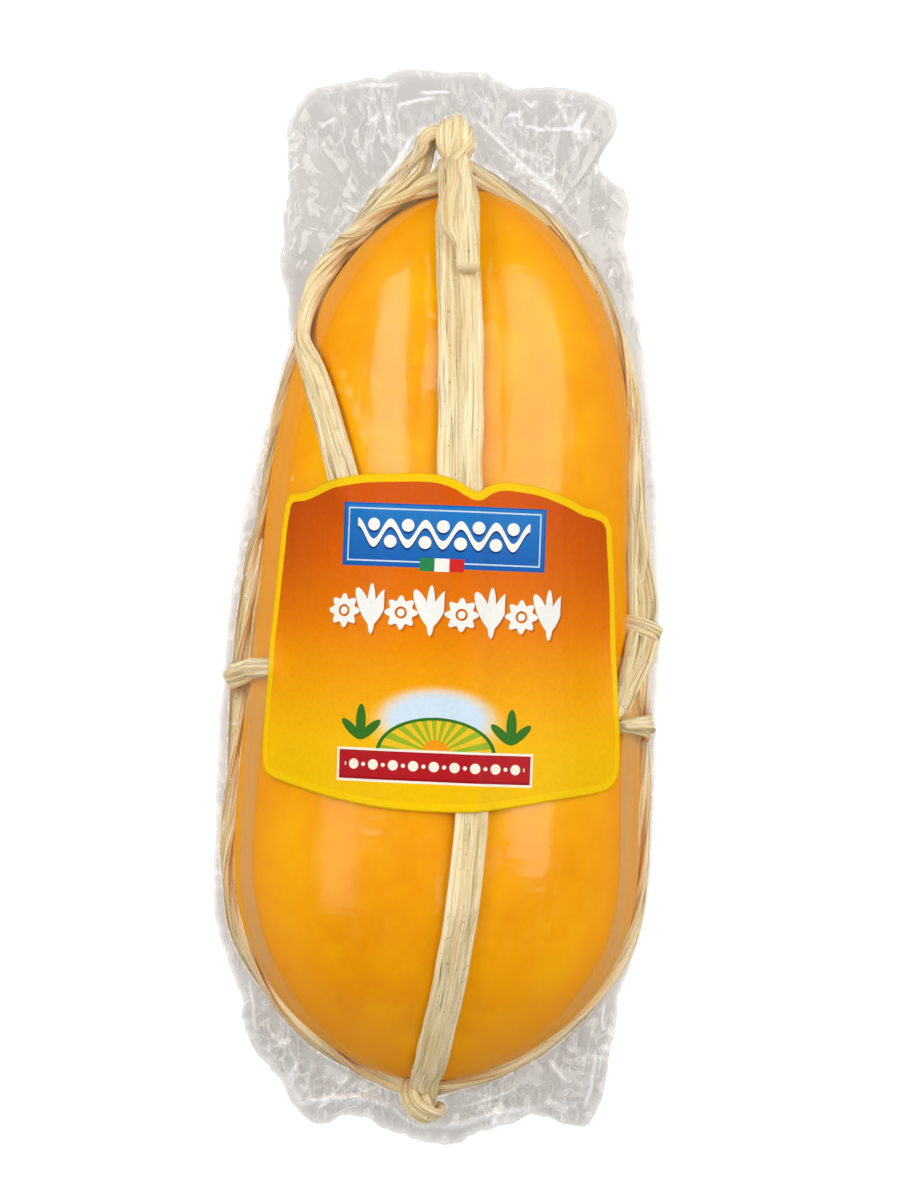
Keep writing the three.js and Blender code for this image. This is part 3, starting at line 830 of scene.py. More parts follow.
def makeLoop():
    common = [onCheese(y, math.radians(angle), height) for y, angle, height in loopLook["onCheese"]]

    def lane(first, last, start=0.0, end=0.0):
        # drawn in at the middle of the way
        def size(share):
            at = smoothStep(share, start, end) if end else share
            spread = 1 - 0.42 * math.exp(-((share - 0.5) / 0.11) ** 2) - 0.1 * smoothStep(share, 0.6, 0.85)
            return lerp(first, last, at) * spread
        return size

    def fading(share):
        return smoothStep(share, 0.05, 0.14) * (1 - smoothStep(share, 0.36, 0.48))

    def wound(ribbons, phase, step):
        # down to the shoulder the ribbons go round each other and turn over
        def one(ribbon, phase):
            def lay(share):
                return loopLook["lays"] * math.pi * share + phase

            def plain(key, share):
                return sizeAt(ribbon[key], share)

            return {
                **ribbon,
                "half": lambda s: plain("half", s) * (1 - 0.22 * fading(s)),
                "aside": lambda s: plain("aside", s) * (1 - 0.5 * fading(s)) + 1.05 * fading(s) * math.cos(lay(s)),
                "raised": lambda s: plain("raised", s) + 0.75 * fading(s) * math.sin(lay(s)),
                "turn": lambda s: plain("turn", s) + 2 * math.pi * smoothStep(s, 0.04, 0.46),
            }
        return [one(ribbon, phase + step * i) for i, ribbon in enumerate(ribbons)]

    upper = wound([
        strip(1.45, 0.9, 51, aside=lane(-1.0, -2.3, 0.3, 0.5), raised=0.1, turn=ramp(0.6, 0.1, 0.2, 0.5)),
        strip(1.6, 0.9, 52, aside=lane(1.1, -1.0, 0.25, 0.45), raised=0.75, turn=ramp(-0.7, 0.15, 0.2, 0.5)),
    ], 0.0, 2.2)
    lower = wound([
        strip(1.6, 0.9, 53, aside=lane(0.9, 2.3, 0.3, 0.5), raised=0.1, turn=lambda s: lerp(-0.5, -0.15, s)),
        strip(1.6, 0.9, 54, aside=lane(-1.2, 0.5, 0.2, 0.5), raised=0.65, turn=ramp(0.2, 3.1, 0.16, 0.40)),
        strip(1.1, 0.8, 55, aside=lane(0.0, 1.5), raised=1.0, turn=ramp(0.0, 3.4, 0.05, 0.5), stop=0.72),
    ], 1.1, 2.1)
    outer = near(topKnot, (-0.8, 1.9, 0.4)) + overAxis(*loopLook["outer"]) + common
    shoulder = near(topKnot, (1.2, -7.6, 3.4)) + overAxis(*loopLook["shoulder"]) + common
    inner = near(topKnot, (-1.5, 1.2, -0.8)) + overAxis(*loopLook["inner"])
    makeStrand("shoulderLoop", "raffia_loop",
               (framed(outer, shoulderFacing), upper), (framed(shoulder, shoulderFacing), lower),
               (framed(inner, fromBelow), [strip(1.35, 0.8, 56), strip(0.9, 0.7, 57, aside=-1.0, raised=0.4)]))


# The cut end of the hanging cord, folded double

tailLook = {
    "height": 2 * 1.2 + 0.7 + 1.3,
    "course": ((90, -1.7), (86.5, -1.9), (82, -1.6), (77.6, -1.2), (73.4, -0.9)),
}


def makeTail():
    course = near(topKnot, (1.3, -2.0, 4.6), (1.5, -4.6, 5.6))
    for y, x in tailLook["course"]:
        half = cheeseForm["halfWidth"] * girth(y)
        course.append(onCheese(y, math.asin(x / half), tailLook["height"]))

    def leftEdge(share):
        return lerp(lerp(-2.3, -3.6, smoothStep(share, 0.10, 0.50)), -0.9, smoothStep(share, 0.66, 0.86))

    def rolled(size):
        # the doubled end is thicker
        return lambda s: size * lerp(1.0, 1.45, smoothStep(s, 0.86, 0.95))

    rightEdge = ramp(2.3, 4.0, 0.10, 0.55)
    inset, innerHalf = ramp(1.3, 2.35, 0.1, 0.6), ramp(1.1, 1.7, 0.1, 0.5)
    tapered = ramp(1.0, 0.25, 0.62, 0.85)
    makeStrand("cutTail", "raffia_tail", (framed(course), [
        strip(lambda s: (rightEdge(s) - leftEdge(s)) / 2, rolled(1.3), 61, closing=2.2, pleat=0.55,
              aside=lambda s: (rightEdge(s) + leftEdge(s)) / 2),
        strip(ramp(1.2, 2.2, 0.1, 0.6), rolled(1.35), 62, closing=2.4, pleat=0.6, raised=0.4, turn=-0.1,
              aside=lambda s: rightEdge(s) - inset(s)),
        strip(lambda s: innerHalf(s) * tapered(s), 1.1, 63, stop=0.86, raised=0.3, turn=0.12, pleat=0.6,
              aside=lambda s: leftEdge(s) + ramp(1.2, 1.7, 0.1, 0.5)(s) * ramp(1, 0.3, 0.62, 0.85)(s)),
    ]))


# The knots

knotLook = {
    # the head: a wide pleated fold over the crown
    "arch": ((1.3, -9.5, 4.4), (1.0, -4.2, 3.6), (0.5, -0.6, 3.9), (0.3, 2.6, 2.7), (0.3, 4.2, 0.0), (0.4, 2.2, -3.0),
             (0.8, -3.0, -4.0), (1.0, -8.0, -4.0)),
    # lumps at the right of the neck and a fold that comes down from them: half width, thickness and course
    "tucks": ((1.2, 1.1, ((3.0, 3.4, 1.0), (3.5, 1.9, 2.8), (3.0, 0.3, 4.0), (2.2, -0.8, 4.4))),
              (1.5, 1.2, ((3.7, 0.9, 1.2), (3.9, -0.6, 3.2), (2.8, -2.2, 4.9), (1.6, -3.6, 5.2), (0.7, -5.4, 4.8))),
              (1.0, 0.9, ((3.4, -2.2, 1.0), (3.3, -3.4, 3.2), (2.6, -4.6, 4.6), (2.2, -6.4, 4.9)))),
    "looseFibres": 18,
    "lowerWrap": ((3.2, 2.6, -1.6), (0.6, 4.2, -1.2), (-1.9, 4.6, 1.0), (-3.1, 2.6, 3.2), (-2.6, -0.2, 4.3),
                  (-0.8, -2.0, 4.5), (1.2, -3.0, 3.4), (2.3, -3.0, 1.0), (2.0, -1.0, -1.6)),
    "lowerUnder": ((-4.2, 1.6, -1.4), (-3.2, -0.8, 1.0), (-1.6, -2.6, 2.4), (0.6, -3.6, 2.2), (2.2, -3.2, -0.4)),
    "lowerOver": ((-0.4, 2.4, 3.4), (0.3, 0.2, 4.4), (1.2, -1.6, 3.8), (2.2, -2.6, 1.6)),
    "sideRing": {"radius": 4.2, "squash": 0.8, "tilt": -0.22, "lean": 0.25, "from": -112, "to": 200},
    "sideBow": ((1.0, 1.2, 1.2), (3.1, 0.6, 0.8), (3.5, -2.4, 0.2), (2.0, -4.4, -0.2), (0.4, -4.2, -0.4)),
    # the lobe: Y, angle in degrees and height
    "lobe": ((2.6, 73, 1.6), (1, 70, 1.3), (-4, 65, 1.3), (-9, 60.5, 1.3), (-13, 57.5, 1.3), (-17.3, 54.5, 0.5)),
}


def makeHangingKnot():
    centre = topKnot + Vector((0.5, -2, 0.6))

    def headHalf(share):
        return 2.35 + 1.35 * swell(share, 0.16, 0.30, 0.38, 0.50)

    arch = framed(near(topKnot, *knotLook["arch"]),
                  lambda place: Vector((place.x * 0.85 + centre.x * 0.15, centre.y, centre.z)))
    parts = [(arch, [
        strip(headHalf, 1.9, 71, pleat=0.75),
        strip(1.6, 1.3, 72, pleat=0.8, raised=0.6, turn=0.25, stop=0.7,
              aside=lambda s: lerp(-0.2, -1.7, smoothStep(s, 0.16, 0.34)) + 1.2 * smoothStep(s, 0.4, 0.6)),
        strip(1.0, 1.1, 74, pleat=0.9, raised=1.0, turn=0.4, stop=0.55, aside=ramp(1.4, -0.9, 0.12, 0.42)),
    ])]
    for i, (half, thick, route) in enumerate(knotLook["tucks"]):
        frames = framed(near(topKnot, *route), lambda place: centre)
        parts.append((frames, [strip(half, thick, 75.5 + i, closing=2.0, pleat=1.2)]))
    draw = random.Random(17)
    for i in range(knotLook["looseFibres"]):
        start = topKnot + Vector((draw.uniform(-2.4, 2.6), draw.uniform(2.6, 3.9), draw.uniform(-1.0, 2.6)))
        tip = start + Vector((draw.uniform(-1.4, 1.4), draw.uniform(0.9, 2.1), draw.uniform(-0.5, 0.9)))
        frames = framed([start - Vector((0, 1.2, 0.6)), start, tip], fromBelow)
        parts.append((frames, [strip(draw.uniform(0.16, 0.36), 0.16, 100 + i, closing=0.7, pleat=0.3)]))
    stem = framed(near(topKnot, (0.6, 1.6, 0.4), (1.2, -2, 0.6), (1.2, -8, 0.3)), fromBelow)
    parts.append((stem, [strip(2.7, 1.7, 76), strip(2.3, 1.5, 77, raised=2.2), strip(2.3, 1.5, 78, raised=-2.2)]))
    makeStrand("hangingKnot", "knot_top", *parts)


def makeLowerKnot():
    turns = lowerKnot + Vector((-0.2, 0.3, 0.2))
    wrap, over, under = (framed(near(lowerKnot, *knotLook[key]), lambda place: turns)
                         for key in ("lowerWrap", "lowerOver", "lowerUnder"))
    stem = framed(near(lowerKnot, (1.0, 5.5, 0.6), (0.2, 0, 0.2), (0.4, -2.8, -0.2)), fromBelow)
    makeStrand(
        "lowerKnot", "knot_lower",
        (wrap, [strip(2.2, 1.0, 81, closing=1.8, turn=0.15),
                strip(1.2, 0.9, 85, aside=1.1, raised=0.5, closing=1.8, turn=-0.2)]),
        (over, [strip(1.2, 0.9, 86, closing=1.8)]),
        (under, [strip(1.5, 0.9, 82, closing=1.8)]),
        (stem, [strip(2.3, 1.8, 83), strip(1.7, 1.2, 84, raised=-1.9)]))


def makeSideKnot():
    middle = onCheese(2.2, math.radians(74), 1.6)
    ring = knotLook["sideRing"]
    turns = []
    for i in range(17):
        angle = math.radians(lerp(ring["from"], ring["to"], i / 16))
        point = Vector((ring["radius"] * math.sin(angle), 0, ring["radius"] * ring["squash"] * math.cos(angle)))
        point.y = point.x * ring["tilt"] + point.z * ring["lean"]
        turns.append(middle + Vector((-1.0, 0, 0.9)) + point)
    makeStrand(
        "sideKnot", "knot_right",
        (framed(turns, lambda place: middle),
         [strip(1.2, 0.95, 91, aside=-0.3, raised=0.2), strip(0.9, 0.8, 92, aside=1.5, turn=-0.3)]),
        (framed(near(middle, *knotLook["sideBow"]), lambda place: middle), [strip(0.9, 0.6, 93, turn=0.5)]))


def makeLobe():
    def curved(first, last):
        return lambda s: lerp(first, last, s * s)

    lobe = [onCheese(y, math.radians(angle), height) for y, angle, height in knotLook["lobe"]]
    makeStrand("sideLobe", "raffia_lobe", (framed(lobe), [
        strip(curved(1.9, 1.0), 1.1, 95, turn=0.15, aside=curved(-1.3, -0.2)),
        strip(curved(1.9, 1.1), 1.1, 96, turn=-0.15, stop=0.92, aside=curved(1.5, 0.3)),
        strip(1.1, 0.7, 97, aside=0.1, raised=0.9, stop=0.8),
        strip(lambda s: lerp(1.9, 1.1, s), 0.9, 98, aside=1.4, turn=1.0, stop=0.9, raised=ramp(2.9, 0.7, 0.1, 0.8)),
        strip(1.3, 0.9, 99, aside=-0.2, turn=0.7, stop=0.84, raised=ramp(2.3, 0.9, 0.1, 0.8)),
    ]))


for makeTie in (makeFront, makeBack, makeSides, makeGirdle, makeLoop, makeTail, makeHangingKnot, makeLowerKnot,
                makeSideKnot, makeLobe):
    makeTie()
print("raffia tied")


# The clear film: one closed bag, tight over the cheese and loose in a flange round it

filmLook = {
    "columnSpacing": 0.51,
    "domeSteps": 24,
    "flangeSteps": 36,
    "backDomeSteps": 12,
    "backFlangeSteps": 12,
    "clearance": 0.22,
    "endSlope": 0.17,
    "sideSlope": 0.30,
    "thickest": 9.0,
    "flutter": 0.8,
    "rimRipple": 0.85,
    "crumple": (0.6, 0.14, 0.06),
    "lowerCrumple": 2.4,
    "folds": 0.3,
    "curls": 210,
    "fineLines": 100,
    "milk": {"from": 76, "to": 88, "most": 0.5},
    "rimCrumple": 0.35,
    "mapStep": 0.8,
    "tint": {"tight": (0.99, 0.988, 0.982, 1), "loose": (0.685, 0.674, 0.658, 1)},
    "milkColour": (0.95, 0.95, 0.95, 1),
    "gathered": (-0.078, -0.094),
    "haze": {"tight": 0.0, "loose": 0.03, "crease": 0.55},
    # a pale band along the cheese's sides: partly haze, partly painted reflection
    "sideHazeAndReflection": {"width": 4.6, "edge": 0.7, "colour": (0.60, 0.53, 0.27, 1), "least": 0.13, "streaks": 0.28,
             "weakFrom": (-0.024, -0.006), "until": (-0.074, -0.090)},
    "wrinkles": {"tight": 0.012, "loose": 0.42},
    "shine": {"least": 0.015, "tight": 0.18, "loose": 0.26, "most": 0.16, "lostInHollows": 0.97},
    "ior": 1.5,
    "roughness": {"tight": 0.16, "loose": 0.09},
    "lowest": -0.12,
    "marks": {"flangeHalf": 16, "liftedFrom": 0.25, "liftedOver": 0.6, "liftedBeside": 0.85, "bareWithin": 0.2,
              "outside": -0.25},
}
rimPoints = [
    (44.6, -20), (44.2, 6), (41.2, 42), (38.4, 62), (34.2, 82), (33.6, 94), (27.6, 100), (31.2, 109), (25, 115.4),
    (10, 115.8), (-2, 118.4), (-24, 116.2), (-36.2, 109), (-37.6, 92), (-37.8, 77), (-36, 62), (-39.6, 44),
    (-44.4, 20), (-46.9, -12), (-47.3, -42), (-46.8, -60), (-43.8, -70), (-40.2, -77.5), (-39, -87), (-31.5, -95),
    (-24.5, -103.4), (-15, -101.4), (-2, -106.6), (10, -104.6), (21, -100.8), (33.8, -101.6), (37, -92),
    (38.8, -78), (42.2, -62), (44.6, -45),
]
# folds of the flange: their course, and the height, half width and whiteness of each, the whiteness partly painted
# highlight
longFolds = [
    ([(-2, 111.3), (5.6, 104.8), (17.7, 94.1), (26.4, 84.7)], 0.4, 0.45, 0.8),
    ([(1.7, 104.6), (11.7, 98.2), (22.8, 88.4)], 0.3, 0.4, 0.6),
    ([(2.3, 101.3), (8.9, 95.2), (23.9, 86)], 0.3, 0.35, 0.8),
    ([(1.6, 106.1), (16, 100.8), (21.5, 96.2), (25.3, 88.5)], 0.35, 0.4, 0.55),
    # a sheaf of thirteen fine ones
    *[([(lerp(-0.5, 3.4, k / 12), lerp(112, 100.2, k / 12) - k % 2),
        (lerp(11, 10, k / 12), lerp(104.6, 96.4, k / 12)),
        (lerp(28.5, 21.5, k / 12) - 2 * (k % 3), lerp(90.5, 87.5, k / 12) + 1.2 * (k % 3))],
       0.12, 0.28, 0.3 + 0.09 * (k * 5 % 4)) for k in range(13)],
    ([(-3.7, 118), (-3.6, 113)], 0.5, 0.35, 0.4),
    ([(-25.1, 114.3), (-13.4, 115.8)], 0.6, 0.4, 0.8),
    ([(-11.4, 113.6), (-3.6, 114.2)], 0.7, 0.4, 1.0),
    ([(-15.2, 110.8), (-6.5, 113.1)], 0.6, 0.4, 0.9),
    ([(-10.6, 106.1), (-20.1, 88.6)], 1.0, 0.55, 1.0),
    ([(-8.6, 106.6), (-12.8, 98), (-18.6, 89.8)], 0.6, 0.35, 0.9),
    ([(-25.3, 83.6), (-20.1, 88.6)], 0.6, 0.35, 0.8),
    ([(-31.5, 104.8), (-27.7, 108.1)], 0.5, 0.35, 0.9),
    ([(-21.8, 105.7), (-18.5, 109.4)], 0.5, 0.35, 0.9),
    ([(-25.5, 89.4), (-21.5, 87.4)], 0.5, 0.35, 0.9),
    ([(25, 112.7), (22.5, 107.4), (24.7, 103.6)], 0.7, 0.4, 1.0),
    ([(30.9, 105.8), (22.5, 107.4), (14.8, 106.6), (7.8, 109.3)], 0.6, 0.35, 0.9),
    ([(22.5, 107.4), (17.4, 114.1)], 0.6, 0.35, 0.7),
    ([(7.8, 109.3), (12.2, 110.9)], 0.4, 0.3, 0.8),
    ([(27.2, 100.8), (27.9, 97.9)], 0.6, 0.4, 1.0),
    ([(29.9, 94.6), (33.5, 90.8)], 0.5, 0.4, 0.7),
    ([(23.5, 84.3), (26.8, 85.9)], 0.5, 0.3, 0.9),
    ([(30.7, 75.6), (32, 79)], 0.5, 0.35, 0.8),
    ([(11.1, 113.3), (13.1, 111.9), (14.5, 113.9)], 0.6, 0.35, 0.9),
    ([(-36.9, -87.3), (-30.9, -92.3), (-26.9, -99.5), (-21.2, -98.6), (-15, -97.6), (-7.5, -99.4), (-2.1, -103.2),
      (5.2, -103), (14, -100.4), (26.5, -97.4), (33.3, -96.6)], 1.3, 0.8, 0.9),
    ([(2.3, -96.8), (16.3, -92)], 0.6, 0.4, 0.7), ([(-15, -96.9), (-8.8, -94.6)], 0.6, 0.4, 0.8),
    ([(5, -99.3), (14.4, -96.8), (21, -91.8)], 0.8, 0.5, 0.8), ([(13.6, -103.2), (13.9, -98.4)], 0.8, 0.4, 1.0),
    ([(-32.2, -86.6), (-35, -83)], 0.7, 0.4, 0.9), ([(-23.8, -100.9), (-19.2, -97.1)], 0.9, 0.5, 1.0),
    ([(31.8, -100.3), (33.7, -93.9), (34.9, -83.9)], 0.9, 0.5, 0.9),
    ([(-38.6, -72.2), (-36.9, -86.8)], 0.7, 0.4, 0.8),
    ([(36.2, -69.7), (35.6, -83.9)], 0.7, 0.4, 0.8), ([(-7.6, -99.2), (-1.1, -104.2)], 0.9, 0.5, 1.0),
    ([(24, -88), (30, -94)], 0.6, 0.4, 0.8), ([(-27, -90), (-31, -96)], 0.6, 0.4, 0.8),
]


def ridged(x, y, seed):
    return 1 - 2.2 * abs(ripple(x, y, seed))


def faceted(x, y, seed):
    # flat facets that meet in sharp creases
    near = noise.voronoi(Vector((x, y, seed)), distance_metric="DISTANCE")[0]
    return 1.6 * (near[1] - near[0]) - 0.5


def filmSurface():
    look = filmLook
    loose, crease, inset = attribute("loose"), attribute("crease"), attribute("inset")
    place = objectPlace()
    lengthwise = axesOf(place)[1]

    def byLooseness(pair):
        return add("Mix", {0: loose, 2: pair["tight"], 3: pair["loose"]}, data_type="FLOAT").outputs[0]

    def hairlines(across, along, turn, narrow):
        # fine wrinkles: the level lines of a noise
        level = cloudy(stretched(place, across, along, across, turn=turn), 1.0, 2.0, Distortion=0.5)
        return held(absolute(minus(level, 0.5)), -narrow, 1.0)

    wrinkle = either(hairlines(230, 70, 0.5, 34.0), hairlines(190, 60, -0.7, 40.0))
    wrinkle = times(wrinkle, held(cloudy(place, 75.0, 2.0), 5.0, between(lengthwise, *look["gathered"], -2.3, -1.6)))
    fine = cloudy(stretched(place, 260, 40, 260), 1.0, 2.0)
    wavy = cloudy(stretched(place, 110, 480, 110), 1.0, 1.0)
    height = maths("ADD", scaled(cloudy(place, 70.0, 2.0), 2.5, fine), times(wavy, 0.8))
    bump = bumped(scaled(wrinkle, 0.25, height), 0.28, 0.0004)

    # clear film that is milky along its creases and wrinkles: partly real haze, partly painted highlight on the folds
    clear = add("BsdfTransparent", {"Color": blend(loose, look["tint"]["tight"], look["tint"]["loose"])}).outputs[0]
    milky = add("BsdfDiffuse", {"Color": look["milkColour"], "Normal": bump}).outputs[0]
    haze = maths("ADD", between(crease, 0.15, 0.75, 0.0, look["haze"]["crease"], soft=True),
                 scaled(loose, look["haze"]["loose"], look["haze"]["tight"]), hold=True)
    body = mixed(held(wrinkle, byLooseness(look["wrinkles"]), haze), clear, milky)

    # partly film haze and partly painted reflection of the pale floor: a dull streaked band along the cheese's sides
    sideHazeAndReflection = look["sideHazeAndReflection"]
    band = between(inset, sideHazeAndReflection["width"], sideHazeAndReflection["width"] - sideHazeAndReflection["edge"], 0.0, 1.0, soft=True)
    band = times(band, between(inset, -0.2, 0.2, 0.0, 1.0))
    band = times(band, between(lengthwise, *sideHazeAndReflection["weakFrom"], 1.0, 0.35))
    band = times(band, between(lengthwise, *sideHazeAndReflection["until"], 1.0, 0.3))
    streak = held(cloudy(stretched(place, 210, 11, 210), 1.0, 2.0), 2.4, -0.7)
    band = times(band, scaled(streak, sideHazeAndReflection["streaks"], sideHazeAndReflection["least"]))
    body = mixed(band, body, add("BsdfDiffuse", {"Color": sideHazeAndReflection["colour"], "Normal": bump}).outputs[0])

    # the shine, less where the film spans a hollow beside the raffia
    shine = look["shine"]
    fresnel = add("Fresnel", {"IOR": look["ior"], "Normal": bump}).outputs[0]
    steep = scaled(loose, shine["loose"] - shine["tight"], shine["tight"])
    share = maths("MINIMUM", scaled(fresnel, steep, shine["least"]), shine["most"])
    share = times(share, scaled(attribute("lifted"), -shine["lostInHollows"], 1.0))
    gloss = add("BsdfGlossy", {"Color": (1, 1, 1, 1), "Roughness": byLooseness(look["roughness"]), "Normal": bump})
    return mixed(share, body, gloss.outputs[0])


def domeReach(tree, core, heading, elevations):
    # how far the pack reaches from the core line, for each column and elevation
    reach = np.zeros((len(core), len(elevations)))
    for i, (start, (dx, dy)) in enumerate(zip(core, heading)):
        for k, elevation in enumerate(elevations):
            outward = Vector((dx * math.cos(elevation), dy * math.cos(elevation), math.sin(elevation)))
            hit = tree.ray_cast(start + outward * 90, -outward)
            reach[i, k] = 90 - hit[3] if hit[0] else 20.0
    return reach


def tighten(surface, spine, rounds=14):
    # film drawn tight: each place is at least on the pack, and else level with its neighbours
    reach = surface.copy()
    for _ in range(rounds):
        for _ in range(5):
            reach = np.maximum(surface, (np.roll(reach, 1, 0) + reach + np.roll(reach, -1, 0)) / 3)
        reach[:, 1:-1] = np.maximum(surface[:, 1:-1], smoothed(reach.T, 1).T)
        reach[:, -1] = spine
    return reach


def tautTop(tree):
    # heights of film drawn tight over the upper side, on an even plan grid
    step = filmLook["mapStep"]
    across = np.arange(-48, 48 + step, step)
    lengthwise = np.arange(-112, 116 + step, step)
    surface = np.full((len(across), len(lengthwise)), axisHeight)
    for i, x in enumerate(across):
        for k, y in enumerate(lengthwise):
            hit = topOf(tree, x, y)
            if hit:
                surface[i, k] = max(hit.z, axisHeight)
    surface += filmLook["clearance"]
    height = surface.copy()
    for _ in range(3):
        for taut, under in ((height, surface), (height.T, surface.T)):
            taut[1:-1] = np.maximum(under[1:-1], smoothed(taut, 2))
    # a last light smoothing softens the ribs of the raffia
    for taut in (height, height.T):
        taut[1:-1] = smoothed(taut, 2)
    return across, lengthwise, height


def heightAt(topMap, x, y):
    across, lengthwise, height = topMap
    step = filmLook["mapStep"]
    i = np.clip((x - across[0]) / step, 0, len(across) - 1.001)
    k = np.clip((y - lengthwise[0]) / step, 0, len(lengthwise) - 1.001)
    low, near = i.astype(int), k.astype(int)
    u, v = i - low, k - near
    return ((height[low, near] * (1 - u) + height[low + 1, near] * u) * (1 - v)
            + (height[low, near + 1] * (1 - u) + height[low + 1, near + 1] * u) * v)


def sampled(reach, share):
    # values of each column's row at a share of the way along it
    at = np.clip(share, 0, 1) * (reach.shape[1] - 1)
    low = np.minimum(at.astype(int), reach.shape[1] - 2)
    rows = np.arange(len(reach))[:, None]
    return reach[rows, low] + (reach[rows, low + 1] - reach[rows, low]) * (at - low)


def sheetProfile(reach, rimReach, slope, sign, flangeSteps, domeSteps):
    # distance from the core line and height of one sheet, from the rim to its crown
    even = rimReach.copy()
    for _ in range(40):
        even = (np.roll(even, 1) + 2 * even + np.roll(even, -1)) / 4

    def tent(fromRim):
        # near the rim the sheet follows it, and farther in its smoothed line, so that notches make no sharp ridge
        thickest = filmLook["thickest"]
        near = np.exp(-np.maximum(fromRim, 0) / 3.5)
        distance = fromRim + (even - rimReach)[:, None] * (1 - near)
        return thickest * (1 - np.exp(-slope[:, None] * np.maximum(distance, 0) / thickest))

    shares = np.linspace(0, 1, 241)[None, :].repeat(len(reach), 0)
    far = sampled(reach, shares)
    turn = shares * math.pi / 2
    above = far * np.sin(turn) - tent(rimReach[:, None] - far * np.cos(turn))
    leaving = np.argmax(above[:, 1:] >= 0, axis=1) + 1
    joint = leaving / 240
    jointReach = sampled(reach, joint[:, None])[:, 0]
    jointOut = jointReach * np.cos(joint * math.pi / 2)
    steps = np.linspace(0, 1, flangeSteps + 1)[None, :]
    out = rimReach[:, None] + (jointOut - rimReach)[:, None] * steps
    height = tent(rimReach[:, None] - out)
    domeShares = joint[:, None] + (1 - joint[:, None]) * np.linspace(0, 1, domeSteps + 1)[None, 1:]
    domeFar = sampled(reach, domeShares)
    out = np.hstack([out, domeFar * np.cos(domeShares * math.pi / 2)])
    height = np.hstack([height, domeFar * np.sin(domeShares * math.pi / 2)])
    # the fold between flange and dome is rounded
    for _ in range(6):
        for values in (out, height):
            fold = values[:, flangeSteps - 5:flangeSteps + 5]
            fold[:, 1:-1] = smoothed(fold.T, 2).T
    return out, sign * height


def foldField(x, y, folds):
    # how much the folds lift the film, and how white they are, at arrays of places
    lift, white = np.zeros_like(x), np.zeros_like(x)
    for points, tall, half, whiteness in folds:
        steps = [math.dist(a, b) for a, b in zip(points, points[1:])]
        before = 0.0
        for (fromX, fromY), (toX, toY), step in zip(points, points[1:], steps):
            alongX, alongY = (toX - fromX) / step, (toY - fromY) / step
            run = np.clip((x - fromX) * alongX + (y - fromY) * alongY, 0, step)
            gap = np.hypot(x - fromX - run * alongX, y - fromY - run * alongY)
            share = (before + run) / sum(steps)
            fade = np.clip(5 * share * (1 - share), 0.0, 1.0)
            lift = np.maximum(lift, tall * fade * np.exp(-gap / half))
            white = np.maximum(white, whiteness * fade * np.clip(1 - gap / (1.9 * half), 0, 1))
            before += step
    return lift, white


def curlsAlong(rim, inward):
    # short curved creases near the rim and fine long ones, laid by chance and denser at the lower end
    draw = random.Random(5)
    curls = []
    for _ in range(filmLook["fineLines"]):
        i = draw.randrange(len(rim))
        start = rim[i] + inward[i] * draw.uniform(0.5, 6.0)
        angle = math.atan2(inward[i].y, inward[i].x) + draw.uniform(-1.1, 1.1)
        size, bend = draw.uniform(4, 12), draw.uniform(-0.5, 0.5)
        points = [(start.x + size * t * math.cos(angle + bend * t), start.y + size * t * math.sin(angle + bend * t))
                  for t in (0, 0.35, 0.7, 1)]
        curls.append((points, draw.uniform(0.1, 0.35), 0.24, draw.uniform(0.3, 0.75)))
    while len(curls) < filmLook["curls"]:
        i = draw.randrange(len(rim))
        if rim[i].y > -80 and draw.random() < 0.45:
            continue
        centre = rim[i] + inward[i] * draw.uniform(1.2, 8.0)
        heading, bend, size = draw.uniform(0, 2 * math.pi), draw.uniform(-1.6, 1.6), draw.uniform(0.7, 2.0)
        points = []
        for t in (-1, -0.33, 0.33, 1):
            angle = heading + bend * t * 0.5
            points.append((centre.x + size * t * math.cos(angle), centre.y + size * t * math.sin(angle)))
        curls.append((points, draw.uniform(0.2, 0.5), 0.26, draw.uniform(0.3, 0.85)))
    return curls


def filmMarks(place, rimRow, tree, cheeseTree):
    # where the film lies over the pack, where it spans a hollow, and how far inside the cheese's outline it is
    marks = filmLook["marks"]
    clear, lifted, bare = (np.zeros(place.shape[:2]) for _ in range(3))
    for i, row in np.ndindex(clear.shape):
        x, y, z = place[i, row]
        hit = topOf(tree, x, y)
        if hit or abs(z - axisHeight) > marks["flangeHalf"]:
            clear[i, row] = 1.0
        if hit and row < rimRow:
            lifted[i, row] = clamp((z - hit.z - marks["liftedFrom"]) / marks["liftedOver"])
            rind = topOf(cheeseTree, x, y)
            bare[i, row] = bool(rind) and hit.z - rind.z < marks["bareWithin"]
    for axis in (0, 1):
        beside = np.maximum(np.roll(lifted, 1, axis), np.roll(lifted, -1, axis))
        lifted = np.maximum(lifted, marks["liftedBeside"] * beside)
    ends = np.linspace(-92, 92, 93)
    turns = [math.radians(angle) for angle in (60, 68, 76, 83, 90)]
    leftEdge = np.interp(place[:, :, 1], ends, [min(onCheese(y, -turn).x for turn in turns) for y in ends])
    rightEdge = np.interp(place[:, :, 1], ends, [max(onCheese(y, turn).x for turn in turns) for y in ends])
    inset = np.minimum(place[:, :, 0] - leftEdge, rightEdge - place[:, :, 0])
    inset[bare == 0] = marks["outside"]
    return clear, lifted, inset


